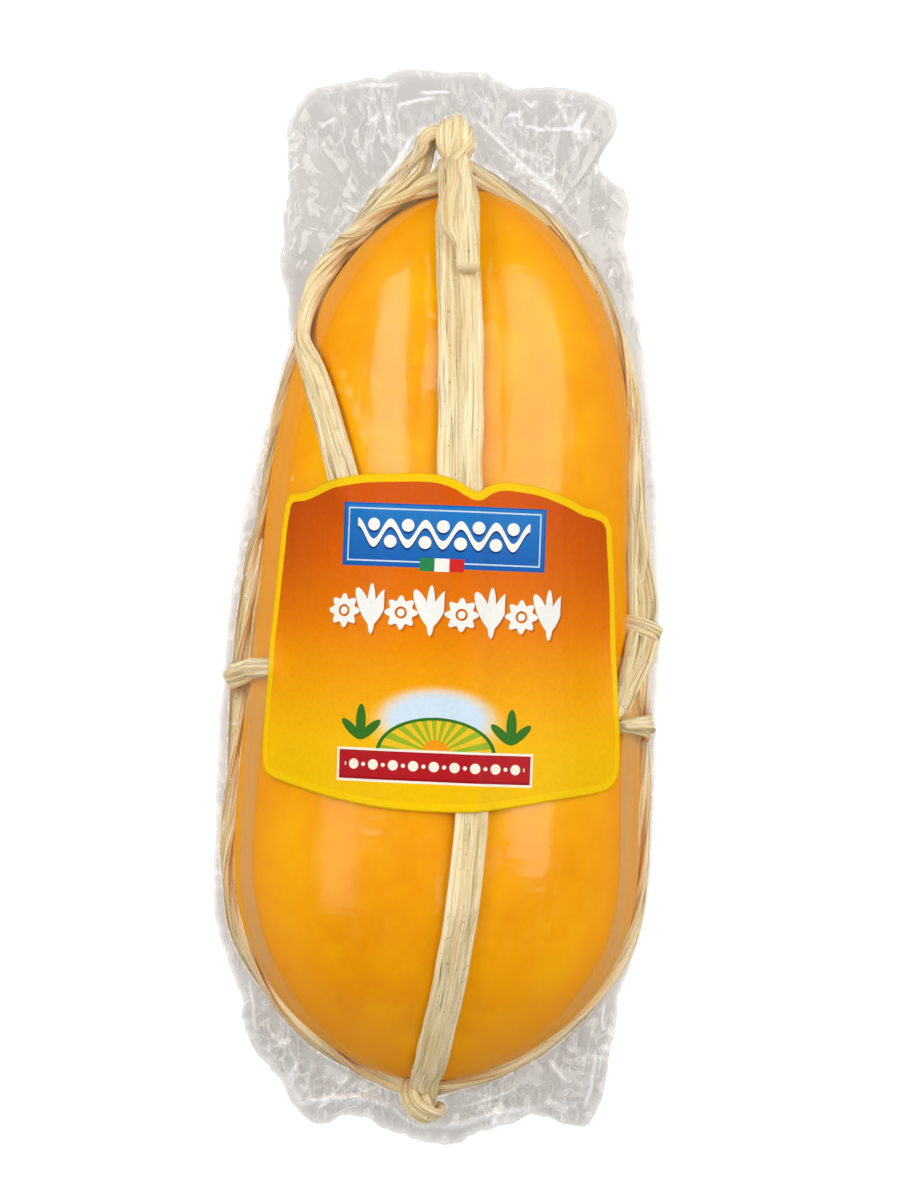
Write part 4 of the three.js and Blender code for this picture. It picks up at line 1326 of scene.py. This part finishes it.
def makeFilm(tree, cheeseTree):
    look = filmLook
    coreEnds = cheeseForm["core"]
    rim = smoothRoute([Vector((x, y, 0)) for x, y in rimPoints], look["columnSpacing"], closed=True)
    columns = len(rim)
    run = np.arange(columns) * look["columnSpacing"]
    core, heading, rimReach = [], [], []
    for i, point in enumerate(rim):
        start = coreFacing(point)
        outward = Vector((point.x - start.x, point.y - start.y))
        edge = look["rimRipple"] * (ripple(run[i] / 4.2, 1.5, 2.0) + 0.5 * ripple(run[i] / 2.1, 7.5, 2.0)
                                    + 0.2 * ripple(run[i] / 1.2, 9.5, 2.0)
                                    + 1.2 * ripple(run[i] / 9.0, 3.5, 2.0))
        edge *= lerp(0.25, 1.0, smoothStep(abs(point.y), 56, 80))
        core.append(start)
        heading.append(outward.normalized())
        rimReach.append(outward.length + edge)
    heading, coreLine, rimReach = np.array(heading), np.array(core), np.array(rimReach)
    slope = look["sideSlope"] + (look["endSlope"] - look["sideSlope"]) * np.abs(heading[:, 1])
    stations = np.linspace(*coreEnds, 121)
    sheets = []
    for sign, domeSteps, flangeSteps in ((1, look["domeSteps"], look["flangeSteps"]),
                                         (-1, look["backDomeSteps"], look["backFlangeSteps"])):
        elevations = [sign * math.pi / 2 * k / 30 for k in range(31)]
        surface = domeReach(tree, core, heading, elevations) + look["clearance"]
        crown = np.array([90 - tree.ray_cast(Vector((cheeseForm["lean"] * y, y, axisHeight + sign * 90)),
                                             Vector((0, 0, -sign)))[3] for y in stations]) + look["clearance"]
        spine = np.interp(coreLine[:, 1], stations, crown)
        surface[:, -1] = spine
        reach = tighten(surface, spine)
        rimReach = np.maximum(rimReach, reach[:, 0] + 0.4)
        sheets.append((sign, flangeSteps, domeSteps, reach))
    total = sum(flangeSteps + domeSteps for _, flangeSteps, domeSteps, _ in sheets)
    place = np.zeros((columns, total + 1, 3))
    slack, loose, bend = (np.zeros((columns, total + 1)) for _ in range(3))
    rimRow = sheets[0][1] + sheets[0][2]
    for sign, flangeSteps, domeSteps, reach in sheets:
        out, height = sheetProfile(reach, rimReach, slope, sign, flangeSteps, domeSteps)
        for k in range(flangeSteps + domeSteps + 1):
            row = rimRow - k if sign > 0 else rimRow + k
            place[:, row, :2] = coreLine[:, :2] + heading * out[:, k:k + 1]
            place[:, row, 2] = axisHeight + height[:, k]
            width = np.maximum(rimReach - out[:, flangeSteps], 0.1)
            fromRim = rimReach - out[:, k]
            loose[:, row] = 1 - 0.9 * np.exp(-np.maximum(fromRim, 0) / 0.8)
            if k <= flangeSteps:
                slack[:, row] = np.clip((width - fromRim) / 5.0, 0, 1)
    # the upper side follows the even map, which has no seam along the crown
    topMap = tautTop(tree)
    upper = place[:, :rimRow]
    out = np.hypot(upper[:, :, 0] - coreLine[:, 0:1], upper[:, :, 1] - coreLine[:, 1:2])
    lean = np.arctan2(upper[:, :, 2] - axisHeight, out)
    share = np.clip((lean - math.radians(28)) / math.radians(20), 0, 1)
    share = share * share * (3 - 2 * share)
    mapped = heightAt(topMap, upper[:, :, 0], upper[:, :, 1])
    upper[:, :, 2] += (mapped - upper[:, :, 2]) * share
    clear, lifted, inset = filmMarks(place, rimRow, tree, cheeseTree)
    # greyer at the lower end, where the film is gathered
    loose *= (1 - clear) * (0.86 + 0.14 * np.clip((-place[:, :, 1] - 72) / 12, 0, 1))
    # crumples, folds and the waving rim
    plain = place.copy()
    shiftX, shiftY = np.zeros_like(slack), np.zeros_like(slack)
    for i, row in zip(*np.nonzero(slack)):
        x, y = plain[i, row, :2]
        seed = 0.0 if row <= rimRow else 60.0
        shiftX[i, row] = ripple(x / 5, y / 5, seed + 11)
        shiftY[i, row] = ripple(x / 5, y / 5, seed + 17)
    inward = [Vector((-dx, -dy, 0)) for dx, dy in heading]
    bentX, bentY = plain[:, :, 0] + 0.9 * shiftX, plain[:, :, 1] + 0.9 * shiftY
    foldLift, foldWhite = foldField(bentX, bentY, longFolds + curlsAlong(rim, inward))
    foldLift[:, rimRow + 1:] *= 0.5
    foldWhite[:, rimRow + 1:] = 0
    for i, row in zip(*np.nonzero(slack)):
        give = slack[i, row]
        x, y, z = plain[i, row]
        front = row <= rimRow
        seed = 4.0 if front else 60.0
        fromRim = rimReach[i] - math.hypot(x - coreLine[i, 0], y - coreLine[i, 1])
        away = clamp(fromRim / 5.0)
        warpX = x + 3.0 * ripple(x / 9, y / 9, seed + 11)
        warpY = y + 3.0 * ripple(x / 9, y / 9, seed + 17)
        big, middle, small = look["crumple"]
        lift = big * faceted(warpX / 11, warpY / 11, seed) + middle * faceted(warpX / 5, warpY / 5, seed + 3)
        lift += small * ridged(warpX / 2.6, warpY / 2.6, seed + 5)
        lift += look["folds"] * ridged(run[i] / 6.0 + 0.6 * ripple(x / 7, y / 7, seed), fromRim / 22, seed + 7)
        lift *= lerp(1.0, look["lowerCrumple"], smoothStep(-y, 74, 84))
        lift += 1.3 * foldLift[i, row]
        nearRim = clamp(1 - fromRim / 6)
        wave = look["flutter"] * (ripple(run[i] / 16, 0.5, 9.0) * 1.6 + 0.6 * ripple(run[i] / 5, 4.5, 9.0))
        common = wave * (1 - 0.6 * away)
        common += look["rimCrumple"] * nearRim * ridged(warpX / 2.6, warpY / 2.6, 33.0)
        side = 1 if front else -1
        place[i, row, 2] = z + give * (common + side * away * max(lift, -0.6 * abs(z - axisHeight)))
        place[i, row, 0] += give * 0.5 * away * shiftX[i, row]
        place[i, row, 1] += give * 0.5 * away * shiftY[i, row]
    place[:, :, 2] = np.maximum(place[:, :, 2], look["lowest"])
    # whiter where the film bends, partly painted highlight on the folds, and milky in clouds at the lower end
    around = (np.roll(place, 1, 0) + np.roll(place, -1, 0)) / 2 - place
    lengthwise = (place[:, :-2] + place[:, 2:]) / 2 - place[:, 1:-1]
    bend[:, 1:-1] = np.linalg.norm(around[:, 1:-1], axis=2) + np.linalg.norm(lengthwise, axis=2)
    crease = np.clip((bend - 0.2) * 1.4, 0, 0.5) * np.clip(slack * 2, 0, 1)
    crease[:, rimRow] = 0.35
    milk = look["milk"]
    for i, row in zip(*np.nonzero(slack > 0.1)):
        x, y = plain[i, row, :2]
        if row <= rimRow:
            cloud = ripple(x / 6, y / 4, 41.0) + 0.6 * ripple(x / 2.4, y / 1.8, 43.0) + 0.15
            low = smoothStep(-y, milk["from"], milk["to"])
            crease[i, row] = max(crease[i, row], milk["most"] * low * clamp(1.6 * cloud))
    crease = np.maximum(crease, foldWhite * np.clip(slack * 3, 0, 1))
    # the crown and the back's middle end on shared places, so that the sheet closes there
    for row in (0, total):
        snapped = np.clip(np.round(coreLine[:, 1]), *coreEnds)
        place[:, row, 0] = cheeseForm["lean"] * snapped
        place[:, row, 1] = snapped

    bm = bmesh.new()
    shown = {"crease": crease, "loose": loose, "lifted": lifted, "inset": inset}
    layers = {name: bm.verts.layers.float.new(name) for name in shown}
    for vert in bmesh.ops.create_grid(bm, x_segments=columns, y_segments=total, size=1)["verts"]:
        i = round((vert.co.x + 1) / 2 * columns) % columns
        row = round((vert.co.y + 1) / 2 * total)
        vert.co = place[i, row]
        for name, values in shown.items():
            vert[layers[name]] = values[i, row]
    bmesh.ops.remove_doubles(bm, verts=bm.verts, dist=1e-4)
    return finishMesh("clearBag", bm, newMaterial("clearFilm", filmSurface), nodes=["bag"])


clearBag = makeFilm(treeOf(madePieces), treeOf([cheeseBody]))


# The label

labelLook = {
    "columns": 150,
    "rows": 140,
    "lift": 0.36,
    "thickness": 0.18,
    "wrapRadius": 43.2,
    "border": 1.75,
    "roughness": 0.36,
    "ior": 1.10,
    "unevenness": 0.12,
    # the ground's colours from the lower edge to the upper one
    "ground": ((0.0, (238, 188, 6)), (0.20, (242, 184, 8)), (0.38, (239, 157, 6)), (0.55, (230, 125, 5)),
               (0.74, (216, 100, 6)), (0.92, (207, 85, 8)), (1.0, (204, 83, 12))),
    "colours": {
        "border": linear(244, 196, 8), "borderShade": linear(224, 176, 8), "corner": linear(165, 62, 18),
        "panel": linear(34, 116, 188), "panelDeep": linear(22, 92, 170), "panelShadow": linear(14, 48, 106),
        "keyline": linear(200, 216, 230), "cream": linear(240, 234, 214), "white": linear(240, 238, 230),
        "shadow": linear(150, 70, 10), "tabGreen": linear(40, 130, 70), "tabRed": linear(205, 40, 40),
        "sky": linear(206, 222, 236), "glow": linear(246, 226, 150), "sun": linear(240, 150, 20),
        "leaf": linear(52, 112, 34), "leafLight": linear(150, 176, 40), "gold": linear(236, 190, 40),
        "band": linear(176, 26, 34), "bandDeep": linear(150, 18, 28),
    },
}
labelSides = {
    "top": [(-34.3, 26.1), (-33.3, 27.9), (-30.2, 28.5), (-27.0, 30.1), (-24.6, 31.2), (-18.8, 32.4), (-13.4, 32.8),
            (-6.6, 33.1), (-2.6, 32.8), (0.9, 31.7), (3.4, 30.3), (5.1, 29.7), (6.8, 30.9), (9.7, 31.9),
            (13.1, 31.8), (18.0, 31.1), (23.0, 29.4), (26.8, 27.6), (29.0, 27.1), (31.4, 26.0), (32.6, 23.6)],
    "bottom": [(-36.8, -27.9), (-36.0, -29.9), (-33.5, -31.2), (-29.0, -32.5), (-21.1, -34.4), (-11.2, -35.8),
               (1.1, -36.1), (10.9, -35.3), (23.1, -32.9), (32.4, -31.1), (35.1, -29.3), (35.9, -27.3)],
    "left": [(-36.8, -27.9), (-37.0, -24.5), (-36.8, -17.1), (-36.4, -8.7), (-36.3, -2.3), (-35.5, 10),
             (-34.8, 21.5), (-34.3, 26.1)],
    "right": [(35.9, -27.3), (36.1, -25), (35.9, -19.1), (35.1, -9.3), (34.3, 0.5), (33.6, 12), (32.9, 20),
              (32.6, 23.6)],
}
# soft creases of the label: from, to, height and half width
labelCreases = [((-24, 2), (-31, -14), 0.35, 1.6), ((-20, -4), (-29, -20), 0.25, 1.8), ((16, 8), (30, -12), 0.3, 2.2),
                ((4, 30), (8, 6), 0.25, 1.8), ((-12, 30), (-15, 12), 0.2, 1.6), ((24, 20), (29, 2), 0.25, 1.8)]


def evenly(points, count):
    route = smoothRoute([Vector((x, y, 0)) for x, y in points], 0.25)
    return [route[round(i / count * (len(route) - 1))] for i in range(count + 1)]


def labelSurface():
    look = labelLook
    colours = look["colours"]
    uv = add("UVMap", uv_map="print").outputs[0]
    across, up = axesOf(uv)[:2]
    edge = attribute("edge")

    def placed(centre, half, turn=0.0, source=uv):
        inputs = {"Location": (*centre, 0), "Rotation": (0, 0, math.radians(turn)), "Scale": (*half, 1)}
        return add("Mapping", {"Vector": source, **inputs}, vector_type="TEXTURE").outputs[0]

    def oval(centre, half, turn=0.0, source=uv, soft=0.0):
        length = lengthOf(placed(centre, half, turn, source))
        return held(minus(1.0, length), 1 / soft, 0.0) if soft else below(length, 1.0)

    def box(centre, *half):
        sides = axesOf(add("VectorMath", {0: placed(centre, half)}, operation="ABSOLUTE").outputs[0])
        return below(either(sides[0], sides[1]), 1.0)

    def rowOf(start, period, centreUp):
        # coordinates that repeat along the label, about the middle of each step
        step = minus(maths("WRAP", across, start + period, start), start + period / 2)
        return add("CombineXYZ", {0: step, 1: minus(up, centreUp)}).outputs[0]

    def rowOfDots(start, period, centreUp, radius):
        return oval((0, 0), (radius, radius), source=rowOf(start, period, centreUp))

    def without(mask, taken):
        return times(mask, minus(1.0, taken))

    def polar(vector):
        parts = axesOf(vector)
        return maths("ARCTAN2", parts[1], parts[0]), lengthOf(vector)

    def waved(drop):
        # a waved line with dots between its bends
        wave = scaled(maths("SINE", times(across, 2 * math.pi / 7.2)), 2.1, 20.6 - drop)
        line = times(below(absolute(minus(up, wave)), 0.85), box((-1.8, 20.6), 18.0, 4.2))
        dots = either(rowOfDots(-19.8, 7.2, 22.3 - drop, 1.3), rowOfDots(-16.2, 7.2, 18.9 - drop, 1.3))
        return either(line, times(dots, box((-1.8, 20.6), 16.4, 4.2)))

    def frieze(drop, sideStep):
        # a row of leaves and rosettes
        source = rowOf(-25.8 + sideStep, 12.4, 4.4 - drop)
        sprig = either(oval((2.0, 0.9), (4.3, 1.25), 115, source), oval((5.0, 0.9), (4.3, 1.25), 65, source))
        sprig = either(sprig, oval((3.5, 0.6), (5.2, 0.9), 90, source))
        turn, length = polar(placed((-2.6, 0.0), (3.5, 3.5), 0, source))
        petal = scaled(maths("COSINE", times(turn, 8.0)), 0.14, 0.86)
        eye = times(above(length, 0.22), below(length, 0.36))
        return times(either(sprig, without(below(length, petal), eye)), box((-1.0 + sideStep, 4.4 - drop), 24.8, 6.4))

    def fan(centre):
        leaves = either(oval((centre, -18.2), (3.6, 1.1), 90), oval((centre - 2.0, -19.8), (3.0, 0.95), 138))
        return either(leaves, oval((centre + 2.0, -19.8), (3.0, 0.95), 42))

    # the ground, orange running to yellow, deeper towards the upper corners
    ground = add("ValToRGB", {0: scaled(up, 1 / 69, 36 / 69)})
    stops = ground.color_ramp.elements
    while len(stops) < len(look["ground"]):
        stops.new(0.5)
    for stop, (position, rgb) in zip(stops, look["ground"]):
        stop.position = position
        stop.color = linear(*rgb)
    corner = times(maths("POWER", maths("DIVIDE", absolute(across), 42.0), 3.0), held(up, 0.03, 0.1))

    panel, band, tab, sun = (-1.7, 20.2), (-1.8, -27.0), 14.4, (-1.6, -24.4)
    panelBlue = blend(held(up, 0.09, -1.25), colours["panelDeep"], colours["panel"])
    disc, risen = oval(sun, (12.4, 7.6)), above(up, -24.6)
    turn, length = polar(placed(sun, (1, 1)))
    rays = blend(above(maths("SINE", times(turn, 22.0)), 0.0), colours["leafLight"], colours["gold"])
    dots = either(rowOfDots(-20.7, 4.2, -26.9, 1.05), rowOfDots(-18.6, 4.2, -26.9, 0.42))
    colour = ground.outputs[0]
    for mask, shade in (
            (corner, "corner"),
            # blue panel with a pale keyline and a waved ornament
            (box(panel, 21.4, 6.5), "panelDeep"), (box(panel, 21.0, 6.15), panelBlue),
            (without(box(panel, 20.3, 5.5), box(panel, 20.0, 5.2)), "keyline"),
            (waved(0.45), "panelShadow"), (waved(0.0), "white"),
            # three-striped tab on the panel's lower edge
            (box((-1.8, tab), 4.5, 1.35), "white"), (box((-4.8, tab), 1.5, 1.35), "tabGreen"),
            (box((1.2, tab), 1.5, 1.35), "tabRed"),
            # white row of leaves and rosettes, each with a soft shadow
            (times(frieze(0.4, 0.4), 0.55), "shadow"), (frieze(0.0, 0.0), "white"),
            # pale oval with a rising half sun of green and gold rays
            (oval((-1.6, -18.2), (14.6, 8.4), soft=0.45), "glow"),
            (oval((-1.6, -17.2), (12.6, 6.6), soft=0.30), "sky"),
            (times(disc, risen), rays), (times(without(disc, oval(sun, (11.6, 7.0))), risen), "leaf"),
            (below(length, 3.0), "sun"),
            # green fans of three leaves at each side
            (fan(-1.8 - 15.6), "leaf"), (fan(-1.8 + 15.6), "leaf"),
            # straight red band with a cream edge and a row of dots
            (box(band, 20.6, 3.45), "cream"), (box(band, 20.1, 2.95), "bandDeep"),
            (box((-1.8, -26.8), 20.1, 2.6), "band"), (times(dots, box((-1.8, -26.9), 18.8, 2.6)), "cream"),
            # yellow border, with painted shade along its very edge
            (below(edge, look["border"]), "border"), (times(below(edge, 0.35), 0.6), "borderShade")):
        colour = blend(mask, colour, colours[shade] if isinstance(shade, str) else shade)
    worn = scaled(cloudy(uv, 0.9, 3.0), 0.14, 0.86)
    colour = add("Mix", {0: 1.0, 6: colour, 7: add("CombineColor", {0: worn, 1: worn, 2: worn}).outputs[0]},
                 data_type="RGBA", blend_type="MULTIPLY").outputs[2]
    return glossy(colour, look["roughness"], look["ior"], bumped(cloudy(uv, 0.35, 3.0), 0.25, 0.0006))


def makeLabel(tree):
    look = labelLook
    columns, rows = look["columns"], look["rows"]
    top, bottom = evenly(labelSides["top"], columns), evenly(labelSides["bottom"], columns)
    left, right = evenly(labelSides["left"], rows), evenly(labelSides["right"], rows)
    plan = np.zeros((columns + 1, rows + 1, 2))
    height = np.zeros((columns + 1, rows + 1))
    for i, k in np.ndindex(columns + 1, rows + 1):
        u, v = i / columns, k / rows
        point = bottom[i] * (1 - v) + top[i] * v + left[k] * (1 - u) + right[k] * u
        point -= (bottom[0] * (1 - u) * (1 - v) + bottom[-1] * u * (1 - v) + top[0] * (1 - u) * v
                  + top[-1] * u * v)
        plan[i, k] = point.x, point.y
        height[i, k] = topOf(tree, *plan[i, k]).z
    # the label spans the small hollows under it
    lowest = height.copy()
    for _ in range(60):
        for axis in (0, 1):
            padded = np.concatenate([np.take(height, [0], axis), height, np.take(height, [-1], axis)], axis)
            low = np.take(padded, range(0, height.shape[axis]), axis)
            high = np.take(padded, range(2, height.shape[axis] + 2), axis)
            height = np.maximum(lowest, (low + height + high) / 3)
    radius = look["wrapRadius"]
    arc = radius * np.arcsin(np.clip(plan[:, :, 0] / radius, -1, 1))
    flat = np.stack([arc, plan[:, :, 1]], axis=2)
    edge = np.full((columns + 1, rows + 1), 99.0)
    for corner in np.concatenate([flat[:, -1], flat[::-1, 0], flat[0], flat[-1]]):
        edge = np.minimum(edge, np.hypot(flat[:, :, 0] - corner[0], flat[:, :, 1] - corner[1]))
    bm = bmesh.new()
    uvLayer = bm.loops.layers.uv.new("print")
    edgeLayer = bm.verts.layers.float.new("edge")
    printed = {}
    for vert in bmesh.ops.create_grid(bm, x_segments=columns, y_segments=rows, size=1)["verts"]:
        i = round((vert.co.x + 1) / 2 * columns)
        k = round((vert.co.y + 1) / 2 * rows)
        x, y = plan[i, k]
        lift = look["lift"]
        for (fromX, fromY), (toX, toY), tall, half in labelCreases:
            length = math.hypot(toX - fromX, toY - fromY)
            run = ((x - fromX) * (toX - fromX) + (y - fromY) * (toY - fromY)) / length
            aside = ((x - fromX) * (toY - fromY) - (y - fromY) * (toX - fromX)) / length
            if 0 < run < length:
                lift += tall * min(1, run / 5, (length - run) / 5) * math.exp(-(aside / half) ** 2)
        lift += look["unevenness"] * (ripple(x / 7, y / 7, 3.0) + 1)
        outward = Vector((x, 0, height[i, k] - axisHeight)).normalized()
        vert.co = Vector((x, y, height[i, k])) + outward * lift
        vert[edgeLayer] = edge[i, k]
        printed[vert] = flat[i, k]
    for face in bm.faces:
        for loop in face.loops:
            loop[uvLayer].uv = printed[loop.vert]
    bmesh.ops.recalc_face_normals(bm, faces=bm.faces)
    if bm.faces[0].normal.z < 0:
        bmesh.ops.reverse_faces(bm, faces=bm.faces)
    bmesh.ops.solidify(bm, geom=bm.faces[:], thickness=look["thickness"])
    finishMesh("paperLabel", bm, newMaterial("printedLabel", labelSurface), nodes=["label"])


makeLabel(treeOf([clearBag]))
print("film and label done")


# Floor, light and camera

studio = {
    "floorDrop": -0.25 * mm,
    "floorAlbedo": 0.4,
    "floorGlow": 0.78,
    "farGlow": 0.88,
    "farLight": 0.12,
    "glowReach": (0.17, 0.40),
    "mirrored": 0.12,
    "spread": 0.35,
    "room": {"seen": 0.95, "ambient": 0.22, "mirrored": 0.07},
    # each lamp: where it starts and ends, its width and radiance; unseen ones show in no reflection, and
    # mirroredOnly ones show in nothing else
    "lamps": {
        "leftWindow": ((-0.64, 0.10, 0.98), (-1.02, 1.40, 0.26), 0.50, 4.2, {"unseen": True}),
        "leftGleam": ((-0.58, 0.10, 1.0), (-0.96, 1.40, 0.28), 0.52, 6.4,
                      {"mirroredOnly": True, "colour": (1, 0.98, 0.88)}),
        "leftFill": ((-1.20, -0.55, 0.80), (-1.25, 0.15, 0.85), 0.55, 2.1, {}),
        "rightWindow": ((0.66, -0.12, 0.86), (0.96, 1.45, 0.34), 1.24, 2.0, {"unseen": True}),
        "rightGleam": ((0.60, -0.12, 0.92), (0.88, 1.45, 0.40), 0.95, 4.6,
                       {"mirroredOnly": True, "colour": (1, 0.98, 0.84)}),
        "sky": ((0, -1.15, 1.32), (0, 0.65, 1.32), 1.8, 0.49, {"unseen": True}),
        "lowWindow": ((-1.3, -1.9, 0.8), (1.3, -1.9, 0.8), 1.3, 0.9, {"unseen": True}),
    },
    "camera": {"lens": 200, "place": (0.001075, 0.0013, 1.44), "turn": math.radians(2.3)},
}


def paperSurface():
    albedo, paler = studio["floorAlbedo"], studio["floorAlbedo"] - 0.01
    colour = blend(add("TexNoise", {"Scale": 60.0, "Detail": 4.0}).outputs[0], (albedo, albedo, albedo, 1),
                   (paler, paler, paler, 1))
    far = lengthOf(objectPlace())
    seen = add("LightPath").outputs
    # the floor looks as pale far off, but lights the pack only from close by
    glow = between(far, *studio["glowReach"], studio["floorGlow"], studio["farLight"], soft=True)
    looked = between(far, *studio["glowReach"], studio["floorGlow"], studio["farGlow"])
    glow = either(glow, times(looked, seen["Is Camera Ray"]))
    dimmed = scaled(seen["Is Glossy Ray"], studio["mirrored"] - 1, 1.0)
    glow = times(glow, held(seen["Is Diffuse Ray"], studio["spread"] - 1, dimmed))
    colour = blend(times(seen["Is Glossy Ray"], 0.6), colour, (0, 0, 0, 1))
    return add("BsdfPrincipled", {"Base Color": colour, "Roughness": 0.9, "Specular IOR Level": 0.1,
                                  "Emission Color": (1, 1, 1, 1), "Emission Strength": glow}).outputs[0]


def makeRoom():
    # a pale room behind, which gives a soft fill but shows little in the reflections
    world = bpy.data.worlds.new("paleRoom")
    world.use_nodes = True
    current["tree"] = world.node_tree
    background = world.node_tree.nodes["Background"]
    background.inputs[0].default_value = (1, 1, 1, 1)
    room = studio["room"]
    seen = add("LightPath").outputs
    level = scaled(seen["Is Camera Ray"], room["seen"] - room["ambient"], room["ambient"])
    level = scaled(seen["Is Glossy Ray"], room["mirrored"] - room["ambient"], level)
    world.node_tree.links.new(level, background.inputs[1])
    bpy.context.scene.world = world


def addLamp(name, near, far, width, radiance, colour=(1, 1, 1), unseen=False, mirroredOnly=False):
    # a rectangle from near to far that faces the pack
    near, far = Vector(near), Vector(far)
    middle = (near + far) / 2
    lengthwise = (far - near).normalized()
    away = middle - Vector((0, 0, 0.05))
    away = (away - lengthwise * away.dot(lengthwise)).normalized()
    turned = Matrix((lengthwise.cross(away), lengthwise, away)).transposed().to_4x4()
    light = bpy.data.lights.new(name, "AREA")
    light.shape = "RECTANGLE"
    light.color = colour
    light.size, light.size_y = width, (far - near).length
    light.energy = radiance * math.pi * light.size * light.size_y
    holder = bpy.data.objects.new(name, light)
    holder.matrix_world = Matrix.Translation(middle) @ turned
    holder.visible_camera = False
    holder.visible_glossy = not unseen
    holder.visible_diffuse = not mirroredOnly
    bpy.context.scene.collection.objects.link(holder)


def makeStudio():
    scene = bpy.context.scene
    scene.view_settings.view_transform = "Standard"
    makeRoom()
    bpy.ops.mesh.primitive_plane_add(size=7, location=(0, 0, studio["floorDrop"]))
    floor = bpy.context.object
    floor.name = "floor"
    floor.data.materials.append(newMaterial("palePaper", paperSurface))
    for name, (near, far, width, radiance, more) in studio["lamps"].items():
        addLamp(name, near, far, width, radiance, **more)
    camera = bpy.data.cameras.new("viewer")
    camera.lens = studio["camera"]["lens"]
    camera.sensor_width = 36
    camera.clip_start = 0.1
    holder = bpy.data.objects.new("viewer", camera)
    holder.location = studio["camera"]["place"]
    holder.rotation_euler = (0, 0, studio["camera"]["turn"])
    scene.collection.objects.link(holder)
    scene.camera = holder


makeStudio()
print("studio ready")
